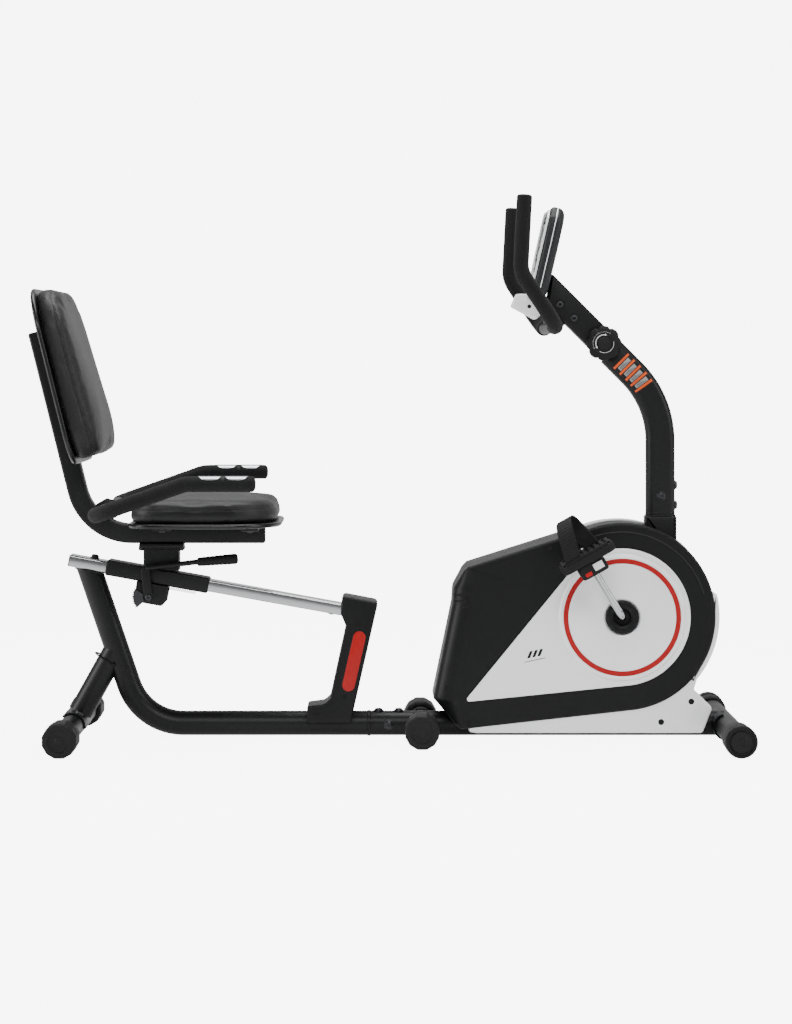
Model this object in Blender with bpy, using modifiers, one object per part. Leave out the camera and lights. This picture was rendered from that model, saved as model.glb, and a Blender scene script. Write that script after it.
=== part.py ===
"""Recumbent exercise bike with a sliding seat: the frame, shells, drive, pedals, seat and console.

Metres, +X to the front of the bike, +Y to the rider's left, +Z up. The origin is on the floor.
Outlines and paths in the side plane are (x, z) pairs.
"""

import math

import bmesh
import bpy
from mathutils import Matrix, Vector

# Clearances and shared walls.
GAP = 0.0003
WELD = 0.00001
SHELL_WALL = 0.003

# Main frame and its feet.
TUBE_R = 0.0254
CAP_FLATS = 0.069
CAP_LENGTH = 0.075
CAP_SIDES = 12
CAP_END = 0.008
FOOT_R = 0.0245
REAR_FOOT = (-0.645, CAP_FLATS / 2)
MIDDLE_FOOT = (0.0767, CAP_FLATS / 2)
WHEEL_R = 0.033
FRONT_FOOT = (0.7071, WHEEL_R)
REAR_HALF_WIDTH = 0.262
MIDDLE_HALF_WIDTH = 0.145
FRONT_HALF_WIDTH = 0.262
SADDLE_HALF = 0.055
SADDLE_WALL = 0.004
BEAM_Z = CAP_FLATS / 2
BEAM_JOINT_X = -0.032
POST_CORNER_X = -0.504
POST_LEAN = math.radians(18.9)
POST_BEND = 0.12
STRUT_HEIGHT = 0.191

# Rail that the seat slides on.
RAIL_SLOPE = math.radians(10.25)
RAIL_REAR = (-0.653, 0.374)
RAIL_LENGTH = 0.612
RAIL_HEIGHT = 0.024
RAIL_WIDTH = 0.050
RAIL_POST_DEPTH = 0.036
RAIL_POST_WIDTH = 0.040
RAIL_POST_TOP = (-0.047, 0.29)
RAIL_POST_FOOT = (-0.099, 0.05)
RAIL_SHROUD_HALF = 0.045
RAIL_SHROUD = (
    (-0.0697, 0.041), (-0.0637, 0.065), (-0.0127, 0.289), (-0.0875, 0.3035), (-0.0905, 0.262),
    (-0.0815, 0.2406), (-0.1135, 0.0865), (-0.160, 0.0745), (-0.160, 0.041),
)

# Crank, pedals and drive.
CRANK = (0.487, 0.263)
CRANK_LENGTH = 0.155
CRANK_ANGLE = math.radians(121.3)
CRANK_R = 0.0078
CRANK_ROOT_Y = 0.112
PEDAL_BOSS_Y = 0.128
SPINDLE_R = 0.0065
PEDAL_INNER_Y = 0.138
PEDAL_WIDTH = 0.100
PEDAL_LENGTH = 0.118
PEDAL_THICKNESS = 0.022
PEDAL_TILT = math.radians(29)
STRAP_RISE = 0.084
STRAP_WIDTH = 0.050
STRAP_WALL = 0.004
BRACKET_SHELL_R = 0.022
BRACKET_HALF = 0.025
BEARING_R = 0.017
BEARING_FLANGE = 0.004
PULLEY_R = 0.110
BELT_Y = -0.042
BELT_WIDTH = 0.011
BELT_WALL = 0.003
FLYWHEEL = (0.250, 0.215)
FLYWHEEL_R = 0.113
FLYWHEEL_HALF = 0.018
FLYWHEEL_PULLEY_R = 0.020
FLYWHEEL_AXLE_R = 0.006
FORK_WALL = 0.005
FORK_WIDTH = 0.030
FORK_LEFT_Y = 0.030
FORK_RIGHT_Y = BELT_Y - BELT_WIDTH / 2 - 0.010
REAR_BRACE_R = 0.014
FRONT_BRACE_R = 0.012
MOTOR_SIZE = (0.050, 0.044, 0.036)
MOTOR_X = 0.395
MAGNET_GAP = 0.0015
MAGNET_WALL = 0.007
MAGNET_HALF = 0.016

# Housing and its panels.
HOUSING_R = 0.193
HOUSING_HALF = 0.083
HOUSING_TOP = (0.173, 0.366)
HOUSING_LOW = (0.158, 0.032)
HOUSING_BACK = ((0.163, 0.356), (0.142, 0.320), (0.140, 0.287), (0.100, 0.093), (0.110, 0.0825), (0.144, 0.043))
PANEL_CORNER = (0.167, 0.091)
PANEL_R = 0.1407
PANEL_WALL = 0.003
DISC_R = 0.130
DISC_RISE = 0.011
HUB_R = 0.034
HUB_HOLE_R = 0.0165
BASE_BOTTOM = 0.024
BASE_HALF = 0.078
BASE_FRONT = (0.6735, 0.0765)
BASE_TOE = (0.6534, BASE_BOTTOM)
BASE_NECK = (0.6335, 0.112)
BASE_HEEL = (0.160, 0.030)
BASE_TOP = 0.12
CRESCENT_R = 0.2015

# Front post, neck, console and its handlebar.
POST_X = 0.574
STUB_DEPTH = 0.050
STUB_WIDTH = 0.030
STUB_TOP = 0.560
POST_WALL = 0.005
POST_DEPTH = STUB_DEPTH + 2 * POST_WALL
POST_WIDTH = STUB_WIDTH + 2 * (POST_WALL + 0.001)
POST_SEAM = 0.469
POST_ELBOW_Z = 0.705
POST_ELBOW_BEND = 0.20
BOOT_WALL = 0.008
TILT = (0.4545, 0.8245)
TILT_R = 0.0295
NECK_DEPTH = 0.055
NECK_WIDTH = 0.046
NECK_LENGTH = 0.196
NECK_UNDERSIDE = 0.144
LUG_WIDTH = 0.040
LUG_DEPTH = 0.034
TONGUE_HALF = 0.010
KNOB_R = 0.0365
KNOB_THICKNESS = 0.020
KNOB_LOBES = 8
KNOB_BOLT_R = 0.005
CONSOLE_CENTRE = (0.336, 1.011)
CONSOLE_TILT = math.radians(10)
CONSOLE_HEIGHT = 0.190
CONSOLE_WIDTH = 0.200
CONSOLE_THICKNESS = 0.037
BUTTON_R = 0.009
BUTTON_LENGTH = 0.009
BUTTON_PROUD = 0.0015
BUTTON_WELL = 0.010
BUTTON_SPREAD = 0.030
BUTTON_ROW = -0.055
SCREEN_SIZE = (0.085, 0.140)
SCREEN_RISE = 0.030
SCREEN_DEPTH = 0.003
HANDLE_R = 0.0127
HANDLE_TOP = (0.2785, 1.1085)
HANDLE_KNEE = (0.271, 0.966)
HANDLE_ELBOW = (0.3435, 0.857)
HANDLE_HALF_WIDTH = 0.235
GRIP_R = 0.0155
CLAMP_COVER = ((0.312, 0.872), (0.336, 0.893), (0.292, 0.936), (0.266, 0.924), (0.262, 0.899))
CLAMP_COVER_HALF = 0.030

# Seat carriage, lever, seat and backrest.
SLEEVE_ALONG = 0.0788
SLEEVE_LENGTH = 0.2125
SLEEVE_WALL = 0.004
COLUMN = (-0.500, -0.426)
COLUMN_HALF = 0.024
COLUMN_FOOT = 0.34
FLANGE_REACH = 0.009
FLANGE_WALL = 0.009
SEAT_TUBE = 0.040
SEAT_TUBE_LEAN = math.radians(14.07)
SEAT_TUBE_CORNER = (-0.6159, 0.4295)
SEAT_TUBE_BEND = 0.118
SEAT_TUBE_UPRIGHT = 0.431
SEAT_TUBE_FRONT_X = -0.2496
SEAT_X = (-0.522, -0.210)
SEAT_WIDTH = 0.400
PAN_WALL = 0.010
CUSHION_HEIGHT = 0.045
BACK_START = 0.146
BACK_LENGTH = 0.370
BACK_WIDTH = 0.390
BACK_CUSHION = 0.062
ARM_HALF_WIDTH = 0.285
ARM_FRONT = (-0.262, 0.545)
ARM_KNEE_X = -0.394
BRACKET_ALONG = (0.145, 0.212)
BRACKET_DROP = 0.042
BRACKET_HALF_WIDTH = 0.034
LEVER_PIVOT_ALONG = 0.1765
LEVER_PIVOT_UP = -0.0433
LEVER_PIN_R = 0.004
LEVER_Y = -0.045
LEVER_WALL = 0.008
LEVER_ELBOW = (-0.4945, 0.360)
LEVER_ROD_END = (-0.386, 0.373)
LEVER_TIP = (-0.302, 0.380)
LEVER_ROD_R = 0.0055
SPRING_R = 0.0035
SPRING_LENGTH = 0.058

BLACK = ("black_powder_coat", (0.022, 0.023, 0.026), 0.45, 0.3)
PLASTIC = ("black_plastic", (0.030, 0.031, 0.034), 0.50, 0.0)
SILVER = ("silver_plastic", (0.58, 0.59, 0.60), 0.38, 0.2)
CHROME = ("chrome", (0.80, 0.81, 0.83), 0.12, 1.0)
STEEL = ("steel", (0.45, 0.46, 0.48), 0.35, 1.0)
RUBBER = ("rubber", (0.020, 0.020, 0.020), 0.75, 0.0)
FOAM = ("foam", (0.025, 0.025, 0.027), 0.85, 0.0)
LEATHERETTE = ("leatherette", (0.020, 0.020, 0.022), 0.42, 0.0)
SCREEN = ("display_glass", (0.30, 0.36, 0.33), 0.15, 0.0)
BUTTON = ("button_grey", (0.35, 0.36, 0.38), 0.5, 0.0)

SIDE = Matrix.Rotation(math.pi / 2, 4, "X")
ALONG_Y = Matrix.Rotation(-math.pi / 2, 4, "X")


def clear_scene():
    for old in list(bpy.data.objects):
        bpy.data.objects.remove(old, do_unlink=True)


def new_collection(name):
    made = bpy.data.collections.new(name)
    bpy.context.scene.collection.children.link(made)
    return made


clear_scene()
PARTS = new_collection("recumbent_exercise_bike")
TOOLS = new_collection("cutters_and_joined_shapes")


def material(finish):
    """The Principled material of a finish, made once."""
    name, colour, roughness, metallic = finish
    made = bpy.data.materials.get(name)
    if made is None:
        made = bpy.data.materials.new(name)
        made.use_nodes = True
        shader = made.node_tree.nodes["Principled BSDF"]
        shader.inputs["Base Color"].default_value = (*colour, 1.0)
        shader.inputs["Roughness"].default_value = roughness
        shader.inputs["Metallic"].default_value = metallic
        made.diffuse_color = (*colour, 1.0)
    return made


def body(name, x=0.0, y=0.0, z=0.0):
    """An empty on a joint's axis, which carries the pieces that move with it."""
    empty = bpy.data.objects.new(name, None)
    empty.location = (x, y, z)
    empty.empty_display_size = 0.03
    PARTS.objects.link(empty)
    return empty


def part(name, solid, finish, carrier=None):
    """Names a solid, gives it its material and collection, and hangs it on its carrier."""
    solid.name = name
    solid.data.name = name
    solid.data.materials.clear()
    solid.data.materials.append(material(finish))
    for holder in list(solid.users_collection):
        holder.objects.unlink(solid)
    PARTS.objects.link(solid)
    solid.data.shade_smooth()
    solid.data.set_sharp_from_angle(angle=math.radians(40))
    if carrier:
        bpy.context.view_layer.update()
        solid.parent = carrier
        solid.matrix_parent_inverse = carrier.matrix_world.inverted()
    return solid


def helper(solid):
    """Hides a shape that only cuts or is joined to another."""
    for holder in list(solid.users_collection):
        holder.objects.unlink(solid)
    TOOLS.objects.link(solid)
    solid.hide_render = True
    solid.display_type = "WIRE"
    return solid


def combine(solid, operation, tools):
    for tool in tools:
        step = solid.modifiers.new(operation.lower(), "BOOLEAN")
        step.operation = operation
        step.solver = "EXACT"
        step.object = helper(tool)
    return solid


def cut(solid, *tools):
    return combine(solid, "DIFFERENCE", tools)


def join(solid, *tools):
    return combine(solid, "UNION", tools)


def from_bmesh(work, frame):
    mesh = bpy.data.meshes.new("solid")
    work.to_mesh(mesh)
    work.free()
    solid = bpy.data.objects.new("solid", mesh)
    solid.matrix_world = frame
    bpy.context.scene.collection.objects.link(solid)
    return solid


def to_mesh(curve, frame):
    """A mesh of the curve with its caps welded on; the curve goes."""
    bpy.context.scene.collection.objects.link(curve)
    bpy.context.view_layer.update()
    graph = bpy.context.evaluated_depsgraph_get()
    mesh = bpy.data.meshes.new_from_object(curve.evaluated_get(graph))
    work = bmesh.new()
    work.from_mesh(mesh)
    bmesh.ops.remove_doubles(work, verts=work.verts, dist=WELD)
    bmesh.ops.recalc_face_normals(work, faces=work.faces)
    bpy.data.objects.remove(curve)
    bpy.data.meshes.remove(mesh)
    return from_bmesh(work, frame)


def curve_of(loops, dimensions, closed):
    data = bpy.data.curves.new("path", "CURVE")
    data.dimensions = dimensions
    for loop in loops:
        spline = data.splines.new("POLY")
        spline.points.add(len(loop) - 1)
        for point, place in zip(spline.points, loop):
            point.co = (*place, 0.0, 1.0) if len(place) == 2 else (*place, 1.0)
        spline.use_cyclic_u = closed
    return bpy.data.objects.new("path", data)


def slab(outline, thickness, frame=SIDE, edge=0.0, rounds=2, holes=()):
    """A flat outline, this thick about the frame's plane, with its edges rounded by edge."""
    curve = curve_of([outline, *holes], "2D", closed=True)
    curve.data.fill_mode = "BOTH"
    curve.data.extrude = thickness / 2 - edge
    curve.data.bevel_depth = edge
    curve.data.bevel_resolution = rounds
    curve.data.offset = -edge
    return to_mesh(curve, frame)


def side_slab(outline, y_from, y_to, edge=0.0, rounds=2, holes=()):
    """A side outline from one y to another."""
    frame = Matrix.Translation((0, (y_from + y_to) / 2, 0)) @ SIDE
    return slab(outline, abs(y_to - y_from), frame, edge, rounds, holes)


def rod(path, radius, sides=12):
    """A round bar along a 3D path."""
    curve = curve_of([path], "3D", closed=False)
    curve.data.fill_mode = "FULL"
    curve.data.bevel_depth = radius
    curve.data.bevel_resolution = (sides - 4) // 2
    curve.data.use_fill_caps = True
    return to_mesh(curve, Matrix.Identity(4))


def cylinder(x, z, y_from, y_to, radius, sides=24):
    """A cylinder across the bike, along Y."""
    work = bmesh.new()
    bmesh.ops.create_cone(
        work, cap_ends=True, segments=sides, radius1=radius, radius2=radius, depth=abs(y_to - y_from)
    )
    return from_bmesh(work, Matrix.Translation((x, (y_from + y_to) / 2, z)) @ ALONG_Y)


def box(size, centre, turn=0.0, edge=0.0, rounds=2):
    """A box of this size, turned about Y by turn, which lifts its front."""
    work = bmesh.new()
    bmesh.ops.create_cube(work, size=1.0, matrix=Matrix.Diagonal((*size, 1.0)))
    solid = from_bmesh(work, Matrix.Translation(centre) @ Matrix.Rotation(-turn, 4, "Y"))
    if edge:
        bevel = solid.modifiers.new("edges", "BEVEL")
        bevel.width = edge
        bevel.segments = rounds
    return solid


def turned(profile, x, z, steps=24):
    """A shape turned about the Y axis through (x, z). The profile is (radius, y), from high y down."""
    work = bmesh.new()
    points = [work.verts.new((radius, 0.0, y)) for radius, y in profile]
    for first, second in zip(points, points[1:] + points[:1]):
        work.edges.new((first, second))
    solid = from_bmesh(work, Matrix.Translation((x, 0, z)) @ ALONG_Y)
    screw = solid.modifiers.new("turn", "SCREW")
    screw.steps = steps
    screw.render_steps = steps
    screw.use_merge_vertices = True
    screw.merge_threshold = WELD
    return solid


def ring(x, z, y_low, y_high, inner, outer, steps=24):
    """A plain ring across the bike, along Y."""
    return turned([(outer, y_high), (outer, y_low), (inner, y_low), (inner, y_high)], x, z, steps)


def polar(centre, radius, angle):
    return Vector((centre[0] + radius * math.cos(angle), centre[1] + radius * math.sin(angle)))


def arc(centre, radius, start, end, steps=12):
    return [polar(centre, radius, start + (end - start) * k / steps) for k in range(steps + 1)]


def sector(centre, inner, outer, start, end, steps=10):
    """The outline of part of a ring."""
    return arc(centre, outer, start, end, steps) + arc(centre, inner, end, start, steps)


def circle(centre, radius, steps=32):
    return arc(centre, radius, 0.0, 2 * math.pi * (1 - 1 / steps), steps - 1)


def tangent_angle(point, centre, radius, side):
    """Where on the circle a line from the point touches it; side is 1 for the upper line, -1 for the lower."""
    reach = Vector(point) - Vector(centre)
    angle = math.atan2(reach.y, reach.x) - side * math.acos(radius / reach.length)
    return angle % (2 * math.pi) if side > 0 else angle


def rounded(corners, radius, steps=4, closed=False):
    """A path through the corners, each one made an arc of its radius."""
    points = [Vector(corner) for corner in corners]
    radii = radius if isinstance(radius, list) else [radius] * len(points)
    path = []
    for i, corner in enumerate(points):
        if radii[i] == 0 or (not closed and i in (0, len(points) - 1)):
            path.append(corner)
            continue
        back = (points[i - 1] - corner).normalized()
        ahead = (points[(i + 1) % len(points)] - corner).normalized()
        half = back.angle(ahead) / 2
        centre = corner + (back + ahead).normalized() * radii[i] / math.sin(half)
        start = corner + back * radii[i] / math.tan(half) - centre
        end = corner + ahead * radii[i] / math.tan(half) - centre
        turn = start.angle(end)
        for k in range(steps + 1):
            near, far = math.sin((1 - k / steps) * turn), math.sin(k / steps * turn)
            path.append(centre + (start * near + end * far) / math.sin(turn))
    return path


def offset(outline, distance):
    """An anticlockwise outline moved outwards, or inwards by a minus distance."""
    moved = []
    for before, corner, after in zip(outline[-1:] + outline[:-1], outline, outline[1:] + outline[:1]):
        into, out = (corner - before).normalized(), (after - corner).normalized()
        mitre = Vector((into.y + out.y, -into.x - out.x))
        moved.append(corner + mitre * distance / (1 + into.dot(out)))
    return moved


def band(path, width):
    """The outline of a strip of this width along a path."""
    sides = []
    for i, point in enumerate(path):
        into = (point - path[i - 1]).normalized() if i else (path[1] - point).normalized()
        out = (path[i + 1] - point).normalized() if i + 1 < len(path) else into
        mitre = Vector((into.y + out.y, -into.x - out.x)) * width / 2 / (1 + into.dot(out))
        sides.append((point + mitre, point - mitre))
    return [side[0] for side in sides] + [side[1] for side in reversed(sides)]


def on_rail(along, up=0.0):
    """A point measured along the rail from its rear end, and up from its centre line."""
    return Vector(
        (
            RAIL_REAR[0] + along * math.cos(RAIL_SLOPE) + up * math.sin(RAIL_SLOPE),
            RAIL_REAR[1] - along * math.sin(RAIL_SLOPE) + up * math.cos(RAIL_SLOPE),
        )
    )


def rail_box(along_from, along_to, low, high, width, edge=0.0):
    """A box lined up with the rail."""
    centre = on_rail((along_from + along_to) / 2, (low + high) / 2)
    size = (along_to - along_from, width, high - low)
    return box(size, (centre.x, 0, centre.y), -RAIL_SLOPE, edge)


def at_y(path, y):
    """A side path made 3D at this y."""
    return [Vector((point[0], y, point[1])) for point in path]


# ---- Frame, rail and feet ----

def saddle(foot, radius, facing, half_width):
    """The curved plate that a frame tube ends in, round the top or rear of a foot tube."""
    reach = math.radians(72)
    outline = sector(foot, radius + GAP, radius + SADDLE_WALL, facing - reach, facing + reach)
    return side_slab(outline, -half_width, half_width)


def above_rail_underside():
    return rail_box(-0.1, RAIL_LENGTH + 0.1, -RAIL_HEIGHT / 2 - GAP, 0.2, 0.2)


def rear_frame():
    corner = Vector((POST_CORNER_X, BEAM_Z))
    lean = Vector((-math.sin(POST_LEAN), math.cos(POST_LEAN)))
    path = rounded([(BEAM_JOINT_X - GAP / 2, BEAM_Z), corner, corner + lean * 0.36], POST_BEND, 8)
    frame = rod(at_y(path, 0), TUBE_R, 16)
    start = corner + lean * (STRUT_HEIGHT - BEAM_Z) / lean.y
    strut = rod(at_y([start, Vector(REAR_FOOT)], 0), TUBE_R - 0.0004, 16)
    cut(strut, cylinder(*REAR_FOOT, -0.1, 0.1, FOOT_R + SADDLE_WALL / 2))
    facing = math.atan2(start.y - REAR_FOOT[1], start.x - REAR_FOOT[0])
    join(frame, strut, saddle(REAR_FOOT, FOOT_R, facing, SADDLE_HALF))
    cut(frame, above_rail_underside())
    part("rear_frame", frame, BLACK)


def seat_rail():
    rail = rail_box(0, RAIL_LENGTH, -RAIL_HEIGHT / 2, RAIL_HEIGHT / 2, RAIL_WIDTH, 0.004)
    part("seat_rail", rail, CHROME)


def rail_post():
    post = side_slab(
        band([Vector(RAIL_POST_FOOT), Vector(RAIL_POST_TOP)], RAIL_POST_DEPTH),
        -RAIL_POST_WIDTH / 2, RAIL_POST_WIDTH / 2, 0.008,
    )
    beam = rod(at_y([(-0.3, BEAM_Z), (0.1, BEAM_Z)], 0), TUBE_R + GAP, 16)
    cut(post, beam, above_rail_underside())
    part("rail_post", post, BLACK)
    shroud = [Vector(corner) for corner in RAIL_SHROUD]
    for name, side in (("right", -1), ("left", 1)):
        half = side_slab(shroud, side * GAP, side * RAIL_SHROUD_HALF, 0.0)
        hollow = side_slab(offset(shroud, -SHELL_WALL), -side * 0.01, side * (RAIL_SHROUD_HALF - SHELL_WALL))
        beam = rod(at_y([(-0.3, BEAM_Z), (0.1, BEAM_Z)], 0), TUBE_R + GAP, 16)
        rail = rail_box(-0.1, RAIL_LENGTH + GAP, -RAIL_HEIGHT / 2 - GAP, RAIL_HEIGHT / 2 + GAP,
                        RAIL_WIDTH + 2 * GAP)
        part("rail_shroud_" + name, cut(half, hollow, beam, rail), PLASTIC)


def front_frame():
    beam = rod(at_y([(BEAM_JOINT_X + GAP / 2, BEAM_Z), (FRONT_FOOT[0], BEAM_Z)], 0), TUBE_R, 16)
    middle = cylinder(*MIDDLE_FOOT, -MIDDLE_HALF_WIDTH, MIDDLE_HALF_WIDTH, FOOT_R, 20)
    upright = side_slab(
        band([Vector((POST_X, BEAM_Z)), Vector((POST_X, STUB_TOP))], STUB_DEPTH),
        -STUB_WIDTH / 2, STUB_WIDTH / 2, 0.012,
    )
    shell = cylinder(*CRANK, -BRACKET_HALF, BRACKET_HALF, BRACKET_SHELL_R)
    rear_brace = rod(at_y([(CRANK[0] - 0.05, BEAM_Z), CRANK], 0), REAR_BRACE_R, 10)
    front_brace = rod(at_y([CRANK, (POST_X, CRANK[1] + 0.05)], 0), FRONT_BRACE_R, 10)
    fork_top = BEAM_Z + TUBE_R
    seat = box((FORK_WIDTH * 1.6, FORK_LEFT_Y - FORK_RIGHT_Y + FORK_WALL, 0.006),
               (FLYWHEEL[0], (FORK_LEFT_Y + FORK_RIGHT_Y) / 2, fork_top))
    join(beam, middle, upright, shell, rear_brace, front_brace, seat)
    for inner in (FORK_LEFT_Y, FORK_RIGHT_Y):
        tip = circle(FLYWHEEL, FORK_WIDTH / 2, 16)[:9]
        left, right = FLYWHEEL[0] - FORK_WIDTH / 2, FLYWHEEL[0] + FORK_WIDTH / 2
        outline = tip + [Vector((left, fork_top)), Vector((right, fork_top))]
        join(beam, side_slab(outline, inner - FORK_WALL / 2, inner + FORK_WALL / 2))
    join(beam, saddle(FRONT_FOOT, FOOT_R, math.pi, SADDLE_HALF))
    cut(beam, cylinder(*FRONT_FOOT, -0.1, 0.1, FOOT_R + GAP, 24))
    cut(beam, cylinder(*CRANK, -0.1, 0.1, BEARING_R + GAP))
    cut(beam, cylinder(*FLYWHEEL, -0.1, 0.1, FLYWHEEL_AXLE_R + GAP, 16))
    part("front_frame", beam, BLACK)


def feet():
    for name, foot, half in (("rear", REAR_FOOT, REAR_HALF_WIDTH), ("front", FRONT_FOOT, FRONT_HALF_WIDTH)):
        part(name + "_stabilizer", cylinder(*foot, -half, half, FOOT_R, 20), BLACK)
    for name, foot, half in (("rear", REAR_FOOT, REAR_HALF_WIDTH), ("middle", MIDDLE_FOOT, MIDDLE_HALF_WIDTH)):
        for hand, side in (("right", -1), ("left", 1)):
            end = side * (half + GAP + CAP_END)
            flat = math.pi / CAP_SIDES
            corner_r = CAP_FLATS / 2 / math.cos(flat)
            outline = arc(foot, corner_r, flat, 2 * math.pi - flat, CAP_SIDES - 1)
            cap = side_slab(outline, end, end - side * CAP_LENGTH)
            bore = cylinder(*foot, side * (half + GAP), side * (half - 0.1), FOOT_R + GAP, 20)
            carrier = body(f"{name}_cap_{hand}_axis", foot[0], end - side * CAP_LENGTH / 2, foot[1])
            part(f"{name}_cap_{hand}", cut(cap, bore), PLASTIC, carrier)
    for hand, side in (("right", -1), ("left", 1)):
        end = side * (FRONT_HALF_WIDTH + GAP + CAP_END)
        rim = WHEEL_R - 0.004
        profile = [(rim, 0), (WHEEL_R, 0.004), (WHEEL_R, CAP_LENGTH - 0.004), (rim, CAP_LENGTH),
                   (FOOT_R + GAP, CAP_LENGTH), (FOOT_R + GAP, CAP_END), (0.0, CAP_END), (0.0, 0)]
        points = [(radius, end - side * depth) for radius, depth in profile]
        wheel = turned(points if side > 0 else points[::-1], *FRONT_FOOT, 32)
        part("front_wheel_" + hand, wheel, PLASTIC, body(f"front_wheel_{hand}_axis", FRONT_FOOT[0], end, WHEEL_R))


# ---- Housing, its panels and the drive inside ----

def housing_outline():
    """The black shell: a circle round the crank, drawn out to a rounded column at the rear."""
    start = tangent_angle(HOUSING_LOW, CRANK, HOUSING_R, -1)
    end = tangent_angle(HOUSING_TOP, CRANK, HOUSING_R, 1)
    corners = (HOUSING_TOP, *HOUSING_BACK, HOUSING_LOW)
    return arc(CRANK, HOUSING_R, start, end, 32) + [Vector(corner) for corner in corners]


def beam_slots():
    """The openings along the bottom of the shells that the frame stands in."""
    top = BEAM_Z + TUBE_R + GAP
    width = 2 * (TUBE_R + GAP)
    low = box((0.64, width, top + 0.02), (0.40, 0, (top - 0.02) / 2))
    deep = box((0.45, 2 * (FORK_LEFT_Y + 0.032), 0.17), (0.42, 0, 0.045))
    return low, deep


def housing():
    outline = housing_outline()
    stub = [Vector((POST_X, 0.2)), Vector((POST_X, STUB_TOP))]
    for hand, side in (("right", -1), ("left", 1)):
        half = side_slab(outline, side * GAP, side * HOUSING_HALF)
        hollow = side_slab(offset(outline, -SHELL_WALL), -side * 0.01, side * (HOUSING_HALF - SHELL_WALL))
        post = side_slab(band(stub, STUB_DEPTH + 2 * GAP), -STUB_WIDTH / 2 - GAP, STUB_WIDTH / 2 + GAP)
        shaft = cylinder(*CRANK, -0.2, 0.2, HUB_HOLE_R, 24)
        cut(half, hollow, post, shaft, *beam_slots())
        part("housing_" + hand, half, PLASTIC)
        inner, outer = HOUSING_HALF + GAP, HOUSING_HALF + GAP + PANEL_WALL
        low = tangent_angle(PANEL_CORNER, CRANK, PANEL_R, -1)
        high = tangent_angle(PANEL_CORNER, CRANK, PANEL_R, 1)
        drop = arc(CRANK, PANEL_R, low, high, 32) + [Vector(PANEL_CORNER)]
        panel = side_slab(drop, side * inner, side * outer)
        join(panel, side_slab(circle(CRANK, DISC_R, 40), side * (inner + 0.001), side * (inner + DISC_RISE)))
        part("side_panel_" + hand, cut(panel, cylinder(*CRANK, -0.2, 0.2, HUB_R + GAP, 24)), SILVER)
        hub = ring(*CRANK, *sorted((side * inner, side * (inner + DISC_RISE + 0.004))), HUB_HOLE_R, HUB_R)
        part("hub_cover_" + hand, hub, PLASTIC)


def base_shroud():
    rise = math.radians(13)
    foot = math.radians(-38)
    crescent = arc(CRANK, CRESCENT_R, foot, rise, 12)
    ends = [polar(CRANK, HOUSING_R - 0.02, rise), polar(CRANK, HOUSING_R - 0.02, foot)]
    outline = [Vector(BASE_HEEL), Vector((BASE_HEEL[0] + 0.04, BASE_BOTTOM)), Vector(BASE_TOE),
               Vector(BASE_FRONT), Vector(BASE_NECK), *crescent, *ends,
               Vector((BASE_HEEL[0] + 0.14, BASE_TOP)), Vector((BASE_HEEL[0], BASE_TOP))]
    for hand, side in (("right", -1), ("left", 1)):
        half = side_slab(outline, side * GAP, side * BASE_HALF)
        inner = offset(outline, -SHELL_WALL)
        hollow = side_slab(inner, -side * 0.01, side * (BASE_HALF - SHELL_WALL))
        under = box((0.45, 2 * (BASE_HALF - SHELL_WALL), 0.06), (0.44, 0, 0.02))
        shell = side_slab(offset(housing_outline(), GAP), -0.1, 0.1)
        foot = cylinder(*FRONT_FOOT, -0.2, 0.2, FOOT_R + GAP, 24)
        reach = SADDLE_HALF + GAP
        plate = cylinder(*FRONT_FOOT, -reach, reach, FOOT_R + SADDLE_WALL + GAP, 24)
        cut(half, hollow, under, shell, foot, plate, *beam_slots())
        part("base_shroud_" + hand, half, SILVER)


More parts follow.
